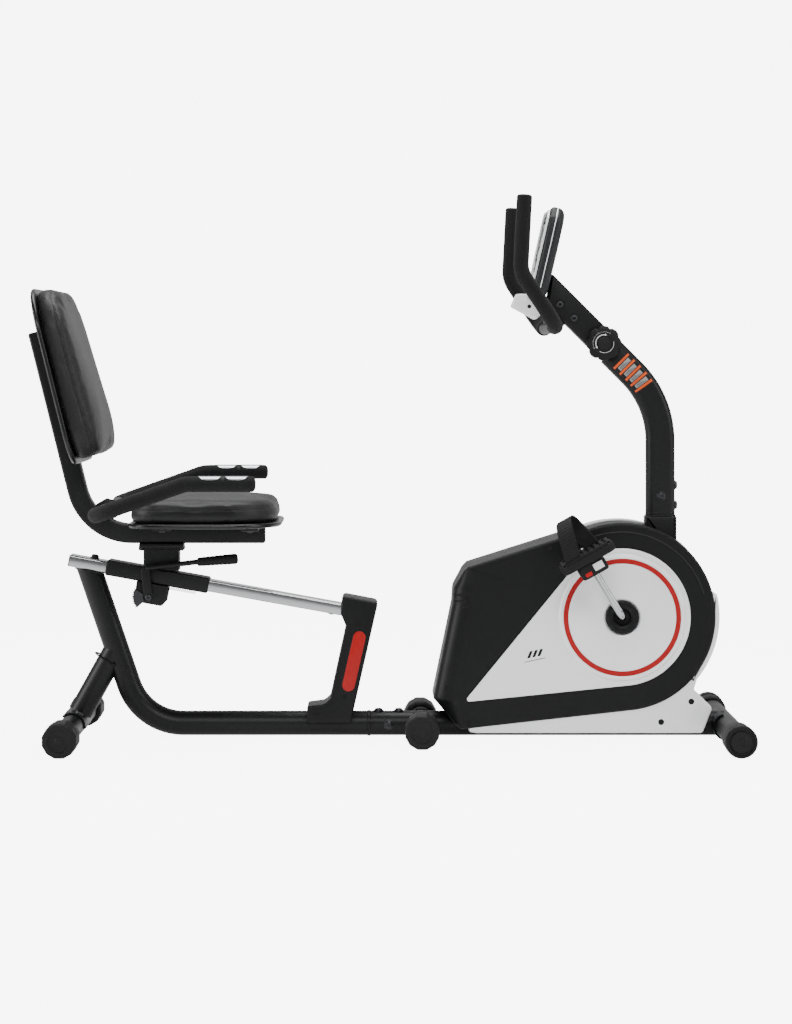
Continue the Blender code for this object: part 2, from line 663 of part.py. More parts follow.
def drive():
    for hand, side in (("right", -1), ("left", 1)):
        flange = BRACKET_HALF + GAP
        profile = [(BRACKET_SHELL_R, flange + BEARING_FLANGE), (BRACKET_SHELL_R, flange), (BEARING_R, flange),
                   (BEARING_R, flange - 0.012), (CRANK_R + GAP, flange - 0.012),
                   (CRANK_R + GAP, flange + BEARING_FLANGE)]
        points = [(radius, side * y) for radius, y in profile]
        part("crank_bearing_" + hand, turned(points if side > 0 else points[::-1], *CRANK, 24), STEEL)
    low, high = BELT_Y - BELT_WIDTH / 2, BELT_Y + BELT_WIDTH / 2
    span = math.dist(CRANK, FLYWHEEL)
    along = math.atan2(CRANK[1] - FLYWHEEL[1], CRANK[0] - FLYWHEEL[0])
    wrap = math.acos((PULLEY_R - FLYWHEEL_PULLEY_R) / span)
    loops = []
    for extra in (GAP + BELT_WALL, GAP):
        big = arc(CRANK, PULLEY_R + extra, along - math.pi + wrap, along + math.pi - wrap, 36)
        small = arc(FLYWHEEL, FLYWHEEL_PULLEY_R + extra, along + math.pi - wrap, along + math.pi + wrap, 10)
        loops.append(big + small)
    belt = side_slab(loops[0], low, high, holes=[loops[1]])
    part("drive_belt", belt, RUBBER)
    crank_body = body("crank_axis", CRANK[0], 0, CRANK[1])
    part("crank_pulley", ring(*CRANK, low, high, CRANK_R + GAP, PULLEY_R, 40), STEEL, crank_body)
    arm = Vector((math.cos(CRANK_ANGLE), 0, math.sin(CRANK_ANGLE))) * CRANK_LENGTH
    centre = Vector((CRANK[0], 0, CRANK[1]))
    across = Vector((0, 1, 0))
    path = rounded(
        [
            centre + arm - across * PEDAL_BOSS_Y, centre - across * CRANK_ROOT_Y,
            centre + across * CRANK_ROOT_Y, centre - arm + across * PEDAL_BOSS_Y,
        ],
        0.022, 4,
    )
    crank = rod(path, CRANK_R, 10)
    for side in (-1, 1):
        tip = centre - side * arm
        join(crank, cylinder(tip.x, tip.z, side * (PEDAL_BOSS_Y - 0.010), side * (PEDAL_BOSS_Y + 0.008), 0.014, 20))
        join(crank, cylinder(tip.x, tip.z, side * PEDAL_BOSS_Y, side * (PEDAL_INNER_Y + 0.085), SPINDLE_R, 16))
    part("crank", crank, CHROME, crank_body)
    wheel_body = body("flywheel_axis", FLYWHEEL[0], 0, FLYWHEEL[1])
    neck_r = FLYWHEEL_PULLEY_R - 0.004
    half = FLYWHEEL_HALF
    bore = FLYWHEEL_AXLE_R + GAP
    profile = [(FLYWHEEL_R, half), (FLYWHEEL_R, -half), (FLYWHEEL_R - 0.03, -half), (FLYWHEEL_R - 0.035, -half / 2),
               (neck_r, -half / 2), (neck_r, high), (FLYWHEEL_PULLEY_R, high), (FLYWHEEL_PULLEY_R, low),
               (bore, low), (bore, half)]
    part("flywheel", turned(profile, *FLYWHEEL, 28), STEEL, wheel_body)
    right = BELT_Y - BELT_WIDTH / 2 - 0.018
    part("flywheel_axle", cylinder(*FLYWHEEL, right, FORK_LEFT_Y + 0.008, FLYWHEEL_AXLE_R, 16), STEEL)
    magnet_brake()
    motor_z = BEAM_Z + TUBE_R + GAP
    motor = box(MOTOR_SIZE, (MOTOR_X, 0, motor_z + MOTOR_SIZE[2] / 2), 0, 0.003)
    part("tension_motor", motor, PLASTIC)


def magnet_brake():
    """The curved magnet carrier under the flywheel, on a pivot at its front end."""
    inner = FLYWHEEL_R + MAGNET_GAP
    seat = BEAM_Z + TUBE_R + 0.003 + GAP
    pivot = Vector((FLYWHEEL[0] + 0.020, seat + 0.008))
    shoe = sector(FLYWHEEL, inner, inner + MAGNET_WALL, math.radians(215), math.radians(268), 10)
    brake = side_slab(shoe, -MAGNET_HALF, MAGNET_HALF)
    foot = side_slab(circle(pivot, 0.008, 16), -0.012, 0.012)
    top = polar(FLYWHEEL, inner + 0.004, math.radians(262))
    link = side_slab(band([pivot, top], 0.007), -0.011, 0.011)
    join(brake, foot, link)
    part("magnet_brake", brake, STEEL, body("magnet_brake_axis", pivot.x, 0, pivot.y))


def pedals():
    for hand, side in (("right", -1), ("left", 1)):
        arm = Vector((math.cos(CRANK_ANGLE), math.sin(CRANK_ANGLE))) * CRANK_LENGTH
        axis = Vector(CRANK) - side * arm
        carrier = body("pedal_" + hand + "_axis", axis.x, side * PEDAL_INNER_Y, axis.y)
        inner, outer = side * PEDAL_INNER_Y, side * (PEDAL_INNER_Y + PEDAL_WIDTH)
        middle = (inner + outer) / 2
        turn = Matrix.Translation((axis.x, middle, axis.y)) @ Matrix.Rotation(-PEDAL_TILT, 4, "Y")
        half, deep = PEDAL_LENGTH / 2, PEDAL_THICKNESS / 2
        outline = rounded([(half, -deep), (half, deep), (-half, deep), (-half, -deep)], 0.007, 3, closed=True)
        tread = slab(outline, PEDAL_WIDTH, turn @ SIDE)
        weight = box((0.060, PEDAL_WIDTH * 0.9, 0.030), (0, 0, -deep - 0.012))
        weight.matrix_world = turn @ weight.matrix_world
        join(tread, weight)
        spindle = cylinder(axis.x, axis.y, inner - side * 0.01, inner + side * 0.086, SPINDLE_R + GAP, 16)
        part("pedal_" + hand, cut(tread, spindle), RUBBER, carrier)
        foot_z = deep + GAP
        reach = PEDAL_WIDTH / 2 - STRAP_WALL
        path = rounded([(-reach, foot_z), (-reach, STRAP_RISE), (reach, STRAP_RISE), (reach, foot_z)], 0.038, 6)
        across = Matrix(((0, 0, 1, 0), (1, 0, 0, 0), (0, 1, 0, 0), (0, 0, 0, 1)))
        strap = slab(band(path, STRAP_WALL), STRAP_WIDTH, turn @ across)
        part("pedal_strap_" + hand, strap, RUBBER, carrier)


# ---- Front post, neck, console and handlebar ----

def neck_direction():
    return Vector((-math.sin(math.pi / 4), math.cos(math.pi / 4)))


def front_post():
    elbow = Vector((POST_X, POST_ELBOW_Z))
    path = rounded([Vector((POST_X, POST_SEAM + GAP)), elbow, Vector(TILT)], POST_ELBOW_BEND, 8)
    post = side_slab(band(path, POST_DEPTH), -POST_WIDTH / 2, POST_WIDTH / 2, 0.017, 2)
    stub = band([Vector((POST_X, 0.4)), Vector((POST_X, STUB_TOP + GAP))], STUB_DEPTH + 2 * GAP)
    bore = side_slab(stub, -STUB_WIDTH / 2 - GAP, STUB_WIDTH / 2 + GAP, 0.012)
    clear = cylinder(*TILT, -0.1, 0.1, TILT_R + 2 * GAP, 32)
    tongue = side_slab(circle(TILT, TILT_R - GAP, 32), -TONGUE_HALF, TONGUE_HALF)
    back = Vector(TILT) - neck_direction() * TILT_R * 1.6
    root = side_slab(band([Vector(TILT), back], TILT_R * 1.2), -TONGUE_HALF, TONGUE_HALF)
    cut(post, bore, clear)
    join(post, tongue, root)
    cut(post, cylinder(*TILT, -0.1, 0.1, KNOB_BOLT_R + GAP, 12))
    part("handlebar_post", post, BLACK)
    low = CRANK[1] + HOUSING_R * 0.80
    half = STUB_DEPTH / 2 + BOOT_WALL
    sides = [Vector((POST_X + half, low)), Vector((POST_X + half, POST_SEAM)),
             Vector((POST_X - half, POST_SEAM)), Vector((POST_X - half, low))]
    boot = side_slab(sides, -STUB_WIDTH / 2 - BOOT_WALL, STUB_WIDTH / 2 + BOOT_WALL, 0.0)
    hole = band([Vector((POST_X, 0.2)), Vector((POST_X, STUB_TOP))], STUB_DEPTH + 2 * GAP)
    cut(boot, side_slab(hole, -STUB_WIDTH / 2 - GAP, STUB_WIDTH / 2 + GAP))
    cut(boot, cylinder(*CRANK, -0.1, 0.1, HOUSING_R + GAP, 96))
    part("post_boot", boot, PLASTIC)


def neck_outline(depth):
    """The neck's side, longer on top, where it meets the console's back."""
    along, out = neck_direction(), Vector((1, 1)).normalized() * depth / 2
    reach = depth - NECK_DEPTH
    return [Vector(TILT) - out, Vector(TILT) + out, Vector(TILT) + out + along * (NECK_LENGTH + reach),
            Vector(TILT) - out + along * (NECK_UNDERSIDE + reach)]


def neck():
    """The tilting neck, a fork round the post's tongue, with the lug that the handlebar is clamped to."""
    carrier = body("neck_axis", TILT[0], 0, TILT[1])
    along = neck_direction()
    stem = side_slab(neck_outline(NECK_DEPTH), -NECK_WIDTH / 2, NECK_WIDTH / 2, 0.008)
    cheek = side_slab(circle(TILT, TILT_R, 32), -NECK_WIDTH / 2, NECK_WIDTH / 2)
    lug_root = Vector(TILT) + along * (Vector(HANDLE_ELBOW) - Vector(TILT)).dot(along)
    lug = side_slab(band([lug_root, Vector(HANDLE_ELBOW)], LUG_DEPTH), -LUG_WIDTH / 2, LUG_WIDTH / 2)
    join(stem, cheek, lug)
    slot = cylinder(*TILT, -TONGUE_HALF - GAP, TONGUE_HALF + GAP, TILT_R + 2 * GAP, 32)
    clamp = cylinder(*HANDLE_ELBOW, -0.1, 0.1, HANDLE_R + GAP, 20)
    bolt = cylinder(*TILT, -0.1, 0.1, KNOB_BOLT_R + GAP, 12)
    behind = console_box(CONSOLE_THICKNESS + 2 * GAP, CONSOLE_HEIGHT, CONSOLE_WIDTH)
    above = console_box(0.2, CONSOLE_HEIGHT, CONSOLE_WIDTH, shift=-0.1)
    part("console_neck", cut(stem, slot, clamp, bolt, behind, above), BLACK, carrier)
    top_corner = Vector(HANDLE_TOP)
    side = [top_corner, Vector(HANDLE_KNEE), Vector(HANDLE_ELBOW)]
    corners = at_y(side, -HANDLE_HALF_WIDTH) + at_y(side[::-1], HANDLE_HALF_WIDTH)
    bar = rod(rounded(corners, [0, 0.06, 0.05, 0.05, 0.06, 0], 4), HANDLE_R, 12)
    part("upper_handlebar", bar, BLACK, carrier)
    for hand, place in (("right", -HANDLE_HALF_WIDTH), ("left", HANDLE_HALF_WIDTH)):
        lean = Vector((HANDLE_TOP[0] - HANDLE_KNEE[0], 0, HANDLE_TOP[1] - HANDLE_KNEE[1])).normalized()
        tip = Vector((HANDLE_TOP[0], place, HANDLE_TOP[1]))
        grip = rod([tip - lean * 0.115, tip + lean * 0.012], GRIP_R, 12)
        hole = rod([tip - lean * 0.2, tip + lean * GAP], HANDLE_R + GAP, 12)
        part("upper_grip_" + hand, cut(grip, hole), FOAM, carrier)
    cover = rounded(CLAMP_COVER, 0.006, 2, closed=True)
    cap = side_slab(cover, -CLAMP_COVER_HALF, CLAMP_COVER_HALF, 0.004)
    lug_gap = side_slab(band([lug_root, Vector(HANDLE_ELBOW)], LUG_DEPTH + 2 * GAP), -0.1, 0.1)
    stem_gap = side_slab(neck_outline(NECK_DEPTH + 2 * GAP), -0.1, 0.1)
    case_gap = console_box(CONSOLE_THICKNESS + 2 * GAP, CONSOLE_HEIGHT + 2 * GAP, CONSOLE_WIDTH)
    cut(cap, lug_gap, stem_gap, case_gap, cylinder(*HANDLE_ELBOW, -0.1, 0.1, HANDLE_R + GAP, 20))
    part("handlebar_clamp", cap, SILVER, carrier)
    console(carrier)
    knob()


def console_box(thickness, height, width, shift=0.0, rise=0.0, across=0.0, edge=0.0):
    """A box lined up with the console; shift is towards the rider's face, rise is up its face."""
    up = Vector((math.sin(CONSOLE_TILT), math.cos(CONSOLE_TILT)))
    face = Vector((-up.y, up.x))
    centre = Vector(CONSOLE_CENTRE) + face * shift + up * rise
    return box((thickness, width, height), (centre.x, across, centre.y), -CONSOLE_TILT, edge)


def console(carrier):
    case = console_box(CONSOLE_THICKNESS, CONSOLE_HEIGHT, CONSOLE_WIDTH, edge=0.006)
    face = CONSOLE_THICKNESS / 2
    cut(case, console_box(2 * SCREEN_DEPTH, *SCREEN_SIZE, shift=face, rise=SCREEN_RISE))
    for across in (-BUTTON_SPREAD, BUTTON_SPREAD):
        cut(case, console_button(BUTTON_R + GAP, 2 * BUTTON_WELL, across, face, BUTTON_ROW))
    part("console_case", case, PLASTIC, carrier)
    glass = console_box(SCREEN_DEPTH - 2 * GAP, SCREEN_SIZE[0] - 2 * GAP, SCREEN_SIZE[1] - 2 * GAP,
                        shift=face - SCREEN_DEPTH / 2, rise=SCREEN_RISE)
    part("console_screen", glass, SCREEN, carrier)
    for name, across in (("mode", -BUTTON_SPREAD), ("reset", BUTTON_SPREAD)):
        middle = face + BUTTON_PROUD - BUTTON_LENGTH / 2
        button = console_button(BUTTON_R, BUTTON_LENGTH, across, middle, BUTTON_ROW)
        axis = button.matrix_world.translation.copy()
        part("button_" + name, button, BUTTON, body(f"button_{name}_axis", *axis))


def console_button(radius, length, across, shift, rise):
    up = Vector((math.sin(CONSOLE_TILT), math.cos(CONSOLE_TILT)))
    face = Vector((-up.y, up.x))
    centre = Vector(CONSOLE_CENTRE) + face * shift + up * rise
    work = bmesh.new()
    bmesh.ops.create_cone(work, cap_ends=True, segments=20, radius1=radius, radius2=radius, depth=length)
    turn = Matrix.Rotation(math.pi / 2 + CONSOLE_TILT, 4, "Y")
    return from_bmesh(work, Matrix.Translation((centre.x, across, centre.y)) @ turn)


def knob():
    """The lobed knob whose bolt goes through the neck and the post."""
    near = -NECK_WIDTH / 2 - GAP
    steps = KNOB_LOBES * 5
    outline = [
        polar(TILT, KNOB_R - 0.002 + 0.002 * math.cos(KNOB_LOBES * 2 * math.pi * k / steps), 2 * math.pi * k / steps)
        for k in range(steps)
    ]
    head = side_slab(outline, near - KNOB_THICKNESS, near, 0.003, 1)
    join(head, cylinder(*TILT, near - 0.005, NECK_WIDTH / 2 + 0.004, KNOB_BOLT_R, 16))
    part("angle_knob", head, PLASTIC, body("angle_knob_axis", TILT[0], 0, TILT[1]))


# ---- Seat, its carriage and the lever ----

def seat_tube_frame():
    """The seat tube's corner, its upward direction and the direction out of its front face."""
    up = Vector((-math.sin(SEAT_TUBE_LEAN), math.cos(SEAT_TUBE_LEAN)))
    return Vector(SEAT_TUBE_CORNER), up, Vector((up.y, -up.x))


def carriage(carrier):
    start, end = SLEEVE_ALONG, SLEEVE_ALONG + SLEEVE_LENGTH
    half = RAIL_HEIGHT / 2 + SLEEVE_WALL
    sleeve = rail_box(start, end, -half, half, RAIL_WIDTH + 2 * SLEEVE_WALL, 0.003)
    tube_bottom = SEAT_TUBE_CORNER[1] - SEAT_TUBE / 2
    flange_top = tube_bottom - GAP
    column_top = flange_top - FLANGE_WALL / 2
    column = box((COLUMN[1] - COLUMN[0], 2 * COLUMN_HALF, column_top - COLUMN_FOOT),
                 ((COLUMN[0] + COLUMN[1]) / 2, 0, (COLUMN_FOOT + column_top) / 2))
    flange = box((COLUMN[1] - COLUMN[0] + 2 * FLANGE_REACH, 2 * COLUMN_HALF + 0.004, FLANGE_WALL),
                 ((COLUMN[0] + COLUMN[1]) / 2, 0, flange_top - FLANGE_WALL / 2))
    join(sleeve, column, flange)
    bore = rail_box(start - 0.1, end + 0.1, -RAIL_HEIGHT / 2 - GAP, RAIL_HEIGHT / 2 + GAP, RAIL_WIDTH + 2 * GAP)
    part("seat_carriage", cut(sleeve, bore), BLACK, carrier)
    low = -half - GAP
    bracket = rail_box(*BRACKET_ALONG, low - BRACKET_DROP, low, 2 * BRACKET_HALF_WIDTH, 0.004)
    pivot = on_rail(LEVER_PIVOT_ALONG, LEVER_PIVOT_UP)
    cut(bracket, cylinder(pivot.x, pivot.y, -0.1, 0.1, LEVER_PIN_R + GAP, 16))
    part("clamp_bracket", bracket, BLACK, carrier)
    spring_up = low - SPRING_R
    ends = [on_rail(BRACKET_ALONG[1] + GAP, spring_up), on_rail(BRACKET_ALONG[1] + SPRING_LENGTH, spring_up)]
    part("lever_spring", rod(at_y(ends, 0), SPRING_R, 10), CHROME, carrier)
    lever(pivot)


def lever(pivot):
    """The seat release: a flat leg on a pin, a bent rod and a tapered grip."""
    carrier = body("lever_axis", pivot.x, 0, pivot.y)
    near, far = LEVER_Y - LEVER_WALL / 2, LEVER_Y + LEVER_WALL / 2
    leg = side_slab(band([pivot, Vector(LEVER_ELBOW)], 0.018), near, far, 0.002)
    ends = side_slab(circle(pivot, 0.009, 20), near, far, 0.002)
    start, tip = Vector(LEVER_ROD_END), Vector(LEVER_TIP)
    along = (tip - start).normalized()
    shaft = rod(at_y([Vector(LEVER_ELBOW), start - along * 0.004, start + along * 0.020], LEVER_Y), LEVER_ROD_R, 12)
    pin = cylinder(pivot.x, pivot.y, LEVER_Y, BRACKET_HALF_WIDTH + 0.004, LEVER_PIN_R, 16)
    part("clamp_lever", join(leg, ends, shaft, pin), BLACK, carrier)
    reach = (tip - start).length
    profile = [(0.0, 0.0), (0.009, 0.0), (0.011, reach - 0.006), (0.008, reach), (0.0, reach)]
    grip = turned(profile, 0, 0, 16)
    grip.matrix_world = (
        Matrix.Translation((start.x, LEVER_Y, start.y))
        @ Matrix.Rotation(math.atan2(along.x, along.y), 4, "Y")
    )
    hole = rod(at_y([start - along * 0.05, start + along * 0.021], LEVER_Y), LEVER_ROD_R + GAP, 12)
    part("lever_grip", cut(grip, hole), RUBBER, carrier)


def seat(carrier):
    corner, up, out = seat_tube_frame()
    path = rounded([corner + up * SEAT_TUBE_UPRIGHT, corner, Vector((SEAT_TUBE_FRONT_X, corner.y))],
                   SEAT_TUBE_BEND, 10)
    tube = side_slab(band(path, SEAT_TUBE), -SEAT_TUBE / 2, SEAT_TUBE / 2, 0.005)
    part("seat_tube", tube, BLACK, carrier)
    middle = (SEAT_X[0] + SEAT_X[1]) / 2
    length = SEAT_X[1] - SEAT_X[0]
    pan_low = corner.y + SEAT_TUBE / 2 + GAP
    pan = box((length, SEAT_WIDTH, PAN_WALL), (middle, 0, pan_low + PAN_WALL / 2), 0, 0.003)
    part("seat_pan", pan, PLASTIC, carrier)
    low = pan_low + PAN_WALL + GAP
    cushion = box((length - 0.004, SEAT_WIDTH - 0.006, CUSHION_HEIGHT), (middle, 0, low + CUSHION_HEIGHT / 2),
                  0, 0.018, 4)
    part("seat_cushion", cushion, LEATHERETTE, carrier)

    def back_box(thickness, from_tube, length, width, edge, rounds):
        centre = corner + up * (BACK_START + BACK_LENGTH / 2) + out * (SEAT_TUBE / 2 + from_tube + thickness / 2)
        return box((thickness, width, length), (centre.x, 0, centre.y), SEAT_TUBE_LEAN, edge, rounds)

    part("back_pan", back_box(PAN_WALL, GAP, BACK_LENGTH, BACK_WIDTH, 0.003, 2), PLASTIC, carrier)
    part("back_cushion", back_box(BACK_CUSHION, PAN_WALL + 2 * GAP, BACK_LENGTH - 0.004, BACK_WIDTH - 0.006,
                                  0.020, 4), LEATHERETTE, carrier)


def seat_handlebar(carrier):
    """The U-shaped bar beside the seat; its cross tube rests in the inside of the seat tube's bend."""
    corner, up, out = seat_tube_frame()
    ahead = Vector((1, 0))
    half = up.angle(ahead) / 2
    toward = (up + ahead).normalized()
    centre = corner + toward * SEAT_TUBE_BEND / math.sin(half)
    cross = centre - toward * (SEAT_TUBE_BEND - SEAT_TUBE / 2 - HANDLE_R - 2 * GAP)
    side = [Vector(ARM_FRONT), Vector((ARM_KNEE_X, ARM_FRONT[1])), cross]
    corners = at_y(side, -ARM_HALF_WIDTH) + at_y(side[::-1], ARM_HALF_WIDTH)
    bar = rod(rounded(corners, [0, 0.06, 0.05, 0.05, 0.06, 0], 4), HANDLE_R, 12)
    part("seat_handlebar", bar, BLACK, carrier)
    for hand, place in (("right", -ARM_HALF_WIDTH), ("left", ARM_HALF_WIDTH)):
        tip, knee = Vector((ARM_FRONT[0], place, ARM_FRONT[1])), Vector((ARM_KNEE_X + 0.014, place, ARM_FRONT[1]))
        grip = rod([knee, tip + Vector((0.008, 0, 0))], GRIP_R, 12)
        hole = rod([knee - Vector((0.05, 0, 0)), tip + Vector((GAP, 0, 0))], HANDLE_R + GAP, 12)
        part("seat_grip_" + hand, cut(grip, hole), FOAM, carrier)


def main():
    rear_frame()
    front_frame()
    seat_rail()
    rail_post()
    feet()
    housing()
    base_shroud()
    drive()
    pedals()
    front_post()
    neck()
    start = on_rail(SLEEVE_ALONG)
    carrier = body("seat_axis", start.x, 0, start.y)
    carriage(carrier)
    seat(carrier)
    seat_handlebar(carrier)


main()
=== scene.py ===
"""Recumbent exercise bike: its visible surfaces and finishes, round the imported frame.

Metres, +X to the front, +Y to the rider's left, +Z up. Side outlines and paths are (x, z) pairs.
"""

import math

import bmesh
import bpy
import numpy as np
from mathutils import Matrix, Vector


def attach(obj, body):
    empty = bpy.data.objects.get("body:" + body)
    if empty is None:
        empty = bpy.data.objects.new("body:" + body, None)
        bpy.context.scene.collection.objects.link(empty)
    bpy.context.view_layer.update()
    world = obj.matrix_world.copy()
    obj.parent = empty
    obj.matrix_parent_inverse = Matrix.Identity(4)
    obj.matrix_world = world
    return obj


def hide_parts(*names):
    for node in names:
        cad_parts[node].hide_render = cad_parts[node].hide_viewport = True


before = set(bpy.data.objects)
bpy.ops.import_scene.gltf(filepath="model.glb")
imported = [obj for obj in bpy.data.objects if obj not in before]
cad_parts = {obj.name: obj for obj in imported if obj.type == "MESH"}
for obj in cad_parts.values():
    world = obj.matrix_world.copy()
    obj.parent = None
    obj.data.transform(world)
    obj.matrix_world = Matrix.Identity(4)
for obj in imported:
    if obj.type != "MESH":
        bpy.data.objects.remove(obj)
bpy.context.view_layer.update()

RIGHT, LEFT = -1, 1
SIDES = (("right", RIGHT), ("left", LEFT))
GAP = 0.0003


# ---- Camera, lights and floor ----

def camera():
    lens = bpy.data.cameras.new("camera")
    lens.lens = 91.5
    lens.shift_x = 0.0156
    lens.shift_y = -0.1484
    lens.clip_end = 60
    holder = bpy.data.objects.new("camera", lens)
    holder.location = (-0.009, -5.42, 0.79)
    holder.rotation_euler = (math.pi / 2, 0, 0)
    bpy.context.scene.collection.objects.link(holder)
    bpy.context.scene.camera = holder


def area_light(name, place, target, size, power):
    light = bpy.data.lights.new(name, "AREA")
    light.shape = "RECTANGLE"
    light.size, light.size_y = size
    light.energy = power
    holder = bpy.data.objects.new(name, light)
    holder.location = place
    holder.rotation_euler = (Vector(target) - Vector(place)).to_track_quat("-Z", "Y").to_euler()
    bpy.context.scene.collection.objects.link(holder)


def studio():
    """A white surround that lights the bike only softly, and four soft boxes."""
    world = bpy.data.worlds.new("surround")
    world.use_nodes = True
    tree = world.node_tree
    lit = tree.nodes["Background"]
    lit.inputs["Color"].default_value = (1, 1, 1, 1)
    lit.inputs["Strength"].default_value = 0.24
    seen = tree.nodes.new("ShaderNodeBackground")
    seen.inputs["Color"].default_value = (1, 1, 1, 1)
    seen.inputs["Strength"].default_value = 12.0
    rays = tree.nodes.new("ShaderNodeLightPath")
    choice = tree.nodes.new("ShaderNodeMixShader")
    tree.links.new(rays.outputs["Is Camera Ray"], choice.inputs[0])
    tree.links.new(lit.outputs[0], choice.inputs[1])
    tree.links.new(seen.outputs[0], choice.inputs[2])
    tree.links.new(choice.outputs[0], tree.nodes["World Output"].inputs["Surface"])
    bpy.context.scene.world = world
    middle = (0, 0, 0.45)
    area_light("top_box", (0.1, 0.3, 3.2), middle, (3.0, 1.4), 125)
    area_light("rear_box", (-3.2, -0.7, 1.2), middle, (1.2, 2.2), 95)
    area_light("front_box", (3.2, -1.2, 1.8), middle, (1.2, 2.4), 50)
    area_light("near_box", (0.3, -4.2, 3.0), middle, (3.2, 0.9), 120)


# ---- Materials ----

class Field:
    """A value that varies over a surface. Arithmetic on it adds the Math node of that name."""

    def __init__(self, finish, socket):
        self.finish, self.socket = finish, socket

    def math(self, operation, first, second=None):
        values = [value for value in (first, second) if value is not None]
        return self.finish.node("ShaderNodeMath", {"operation": operation}, *values)

    def __add__(self, other):
        return self.math("ADD", self, other)

    def __sub__(self, other):
        return self.math("SUBTRACT", self, other)

    def __rsub__(self, other):
        return self.math("SUBTRACT", other, self)

    def __mul__(self, other):
        return self.math("MULTIPLY", self, other)

    def fraction(self):
        return self.math("FRACT", self)

    def clamped(self):
        return self.finish.node("ShaderNodeClamp", {}, self)

    __radd__ = __add__
    __rmul__ = __mul__


class Finish:
    """A material under construction: node() adds a node, set() writes constants, feed() links what
    varies."""

    def __init__(self, name, **constants):
        self.material = bpy.data.materials.new(name)
        self.material.use_nodes = True
        self.tree = self.material.node_tree
        self.shader = self.tree.nodes["Principled BSDF"]
        self.set(**constants)

    def set(self, **constants):
        for name, value in constants.items():
            socket = self.shader.inputs[name.replace("_", " ")]
            socket.default_value = (*value, 1.0) if isinstance(value, tuple) else value

    def node(self, kind, settings, *values, output=0, **named):
        made = self.tree.nodes.new(kind)
        for name, value in settings.items():
            setattr(made, name, value)
        pairs = list(zip(made.inputs, values)) + [(made.inputs[k.replace("_", " ")], v) for k,
                                                  v in named.items()]
        for socket, value in pairs:
            if isinstance(value, Field):
                self.tree.links.new(value.socket, socket)
            else:
                socket.default_value = (*value, 1.0) if isinstance(value, tuple) and len(value) == 3 and \
                    socket.type == "RGBA" else value
        return Field(self, made.outputs[output])

    def place(self):
        return self.node("ShaderNodeTexCoord", {}, output=3)

    def axis(self, letter, source=None):
        return self.node("ShaderNodeSeparateXYZ", {}, source or self.place(), output="XYZ".index(letter))

    def stretched(self, scale):
        return self.node("ShaderNodeMapping", {}, self.place(), Scale=scale)

    def noise(self, scale, detail=3.0, roughness=0.55, source=None):
        return self.node("ShaderNodeTexNoise", {}, Vector=source or self.place(), Scale=scale,
                         Detail=detail, Roughness=roughness)

    def cells(self, scale, feature="F1", source=None):
        return self.node("ShaderNodeTexVoronoi", {"feature": feature}, Vector=source or self.place(),
                         Scale=scale)

    def blend(self, share, first, second):
        made = self.tree.nodes.new("ShaderNodeMix")
        made.data_type = "RGBA"
        for socket, value in ((made.inputs[0], share), (made.inputs[6], first), (made.inputs[7], second)):
            if isinstance(value, Field):
                self.tree.links.new(value.socket, socket)
            else:
                socket.default_value = (*value, 1.0) if isinstance(value, tuple) else value
        return Field(self, made.outputs[2])

    def feed(self, name, value):
        self.tree.links.new(value.socket, self.shader.inputs[name])
        return self

    def bump(self, height, distance, strength=1.0):
        normal = self.node("ShaderNodeBump", {}, Strength=strength, Distance=distance, Height=height)
        return self.feed("Normal", normal)


def powder_coat():
    finish = Finish("black_powder_coat", Specular_IOR_Level=0.22, Coat_Roughness=0.3)
    orange_peel = finish.noise(420, 2.0)
    dust = finish.noise(9, 4.0)
    finish.feed("Base Color", finish.blend(dust, (0.0028, 0.0029, 0.0031), (0.0052, 0.0053, 0.0056)))
    finish.feed("Roughness", 0.33 + dust * 0.1 + orange_peel * 0.05)
    return finish.bump(orange_peel, 0.00012, 0.5).material


def moulded(name, dark, light, rough, grain=900.0, depth=0.0001):
    """Moulded plastic with a fine spark-eroded grain and a slow drift in gloss."""
    finish = Finish(name, Specular_IOR_Level=0.2)
    speck = finish.noise(grain, 2.0, 0.7)
    drift = finish.noise(6, 3.0)
    finish.feed("Base Color", finish.blend(drift, dark, light))
    finish.feed("Roughness", rough - 0.05 + drift * 0.08 + speck * 0.06)
    return finish.bump(speck, depth, 0.6).material


def silver_paint():
    finish = Finish("silver_panel_paint", Coat_Roughness=0.18, IOR=1.5)
    flake = finish.cells(2600)
    drift = finish.noise(4, 2.0)
    tone = finish.blend(drift, (0.8, 0.805, 0.81), (0.87, 0.875, 0.88))
    finish.feed("Base Color", finish.blend(flake * 0.35, tone, (0.9, 0.9, 0.9)))
    finish.feed("Metallic", 0.12 + flake * 0.16)
    finish.feed("Roughness", 0.34 + flake * 0.1)
    finish.feed("Coat Weight", 0.25 + drift * 0.1)
    return finish.bump(flake, 0.00003, 0.4).material


def plated(name, tone, rough, streak):
    """Bright plating or ground steel: fine lengthwise streaks in roughness and height."""
    finish = Finish(name, Metallic=1.0)
    lines = finish.noise(1.0, 3.0, source=finish.stretched(streak))
    drift = finish.noise(14, 3.0)
    finish.feed("Base Color", finish.blend(drift, tone, tuple(min(1.0, part * 1.08) for part in tone)))
    finish.feed("Roughness", rough + lines * rough * 0.8)
    return finish.bump(lines, 0.00002, 0.4).material


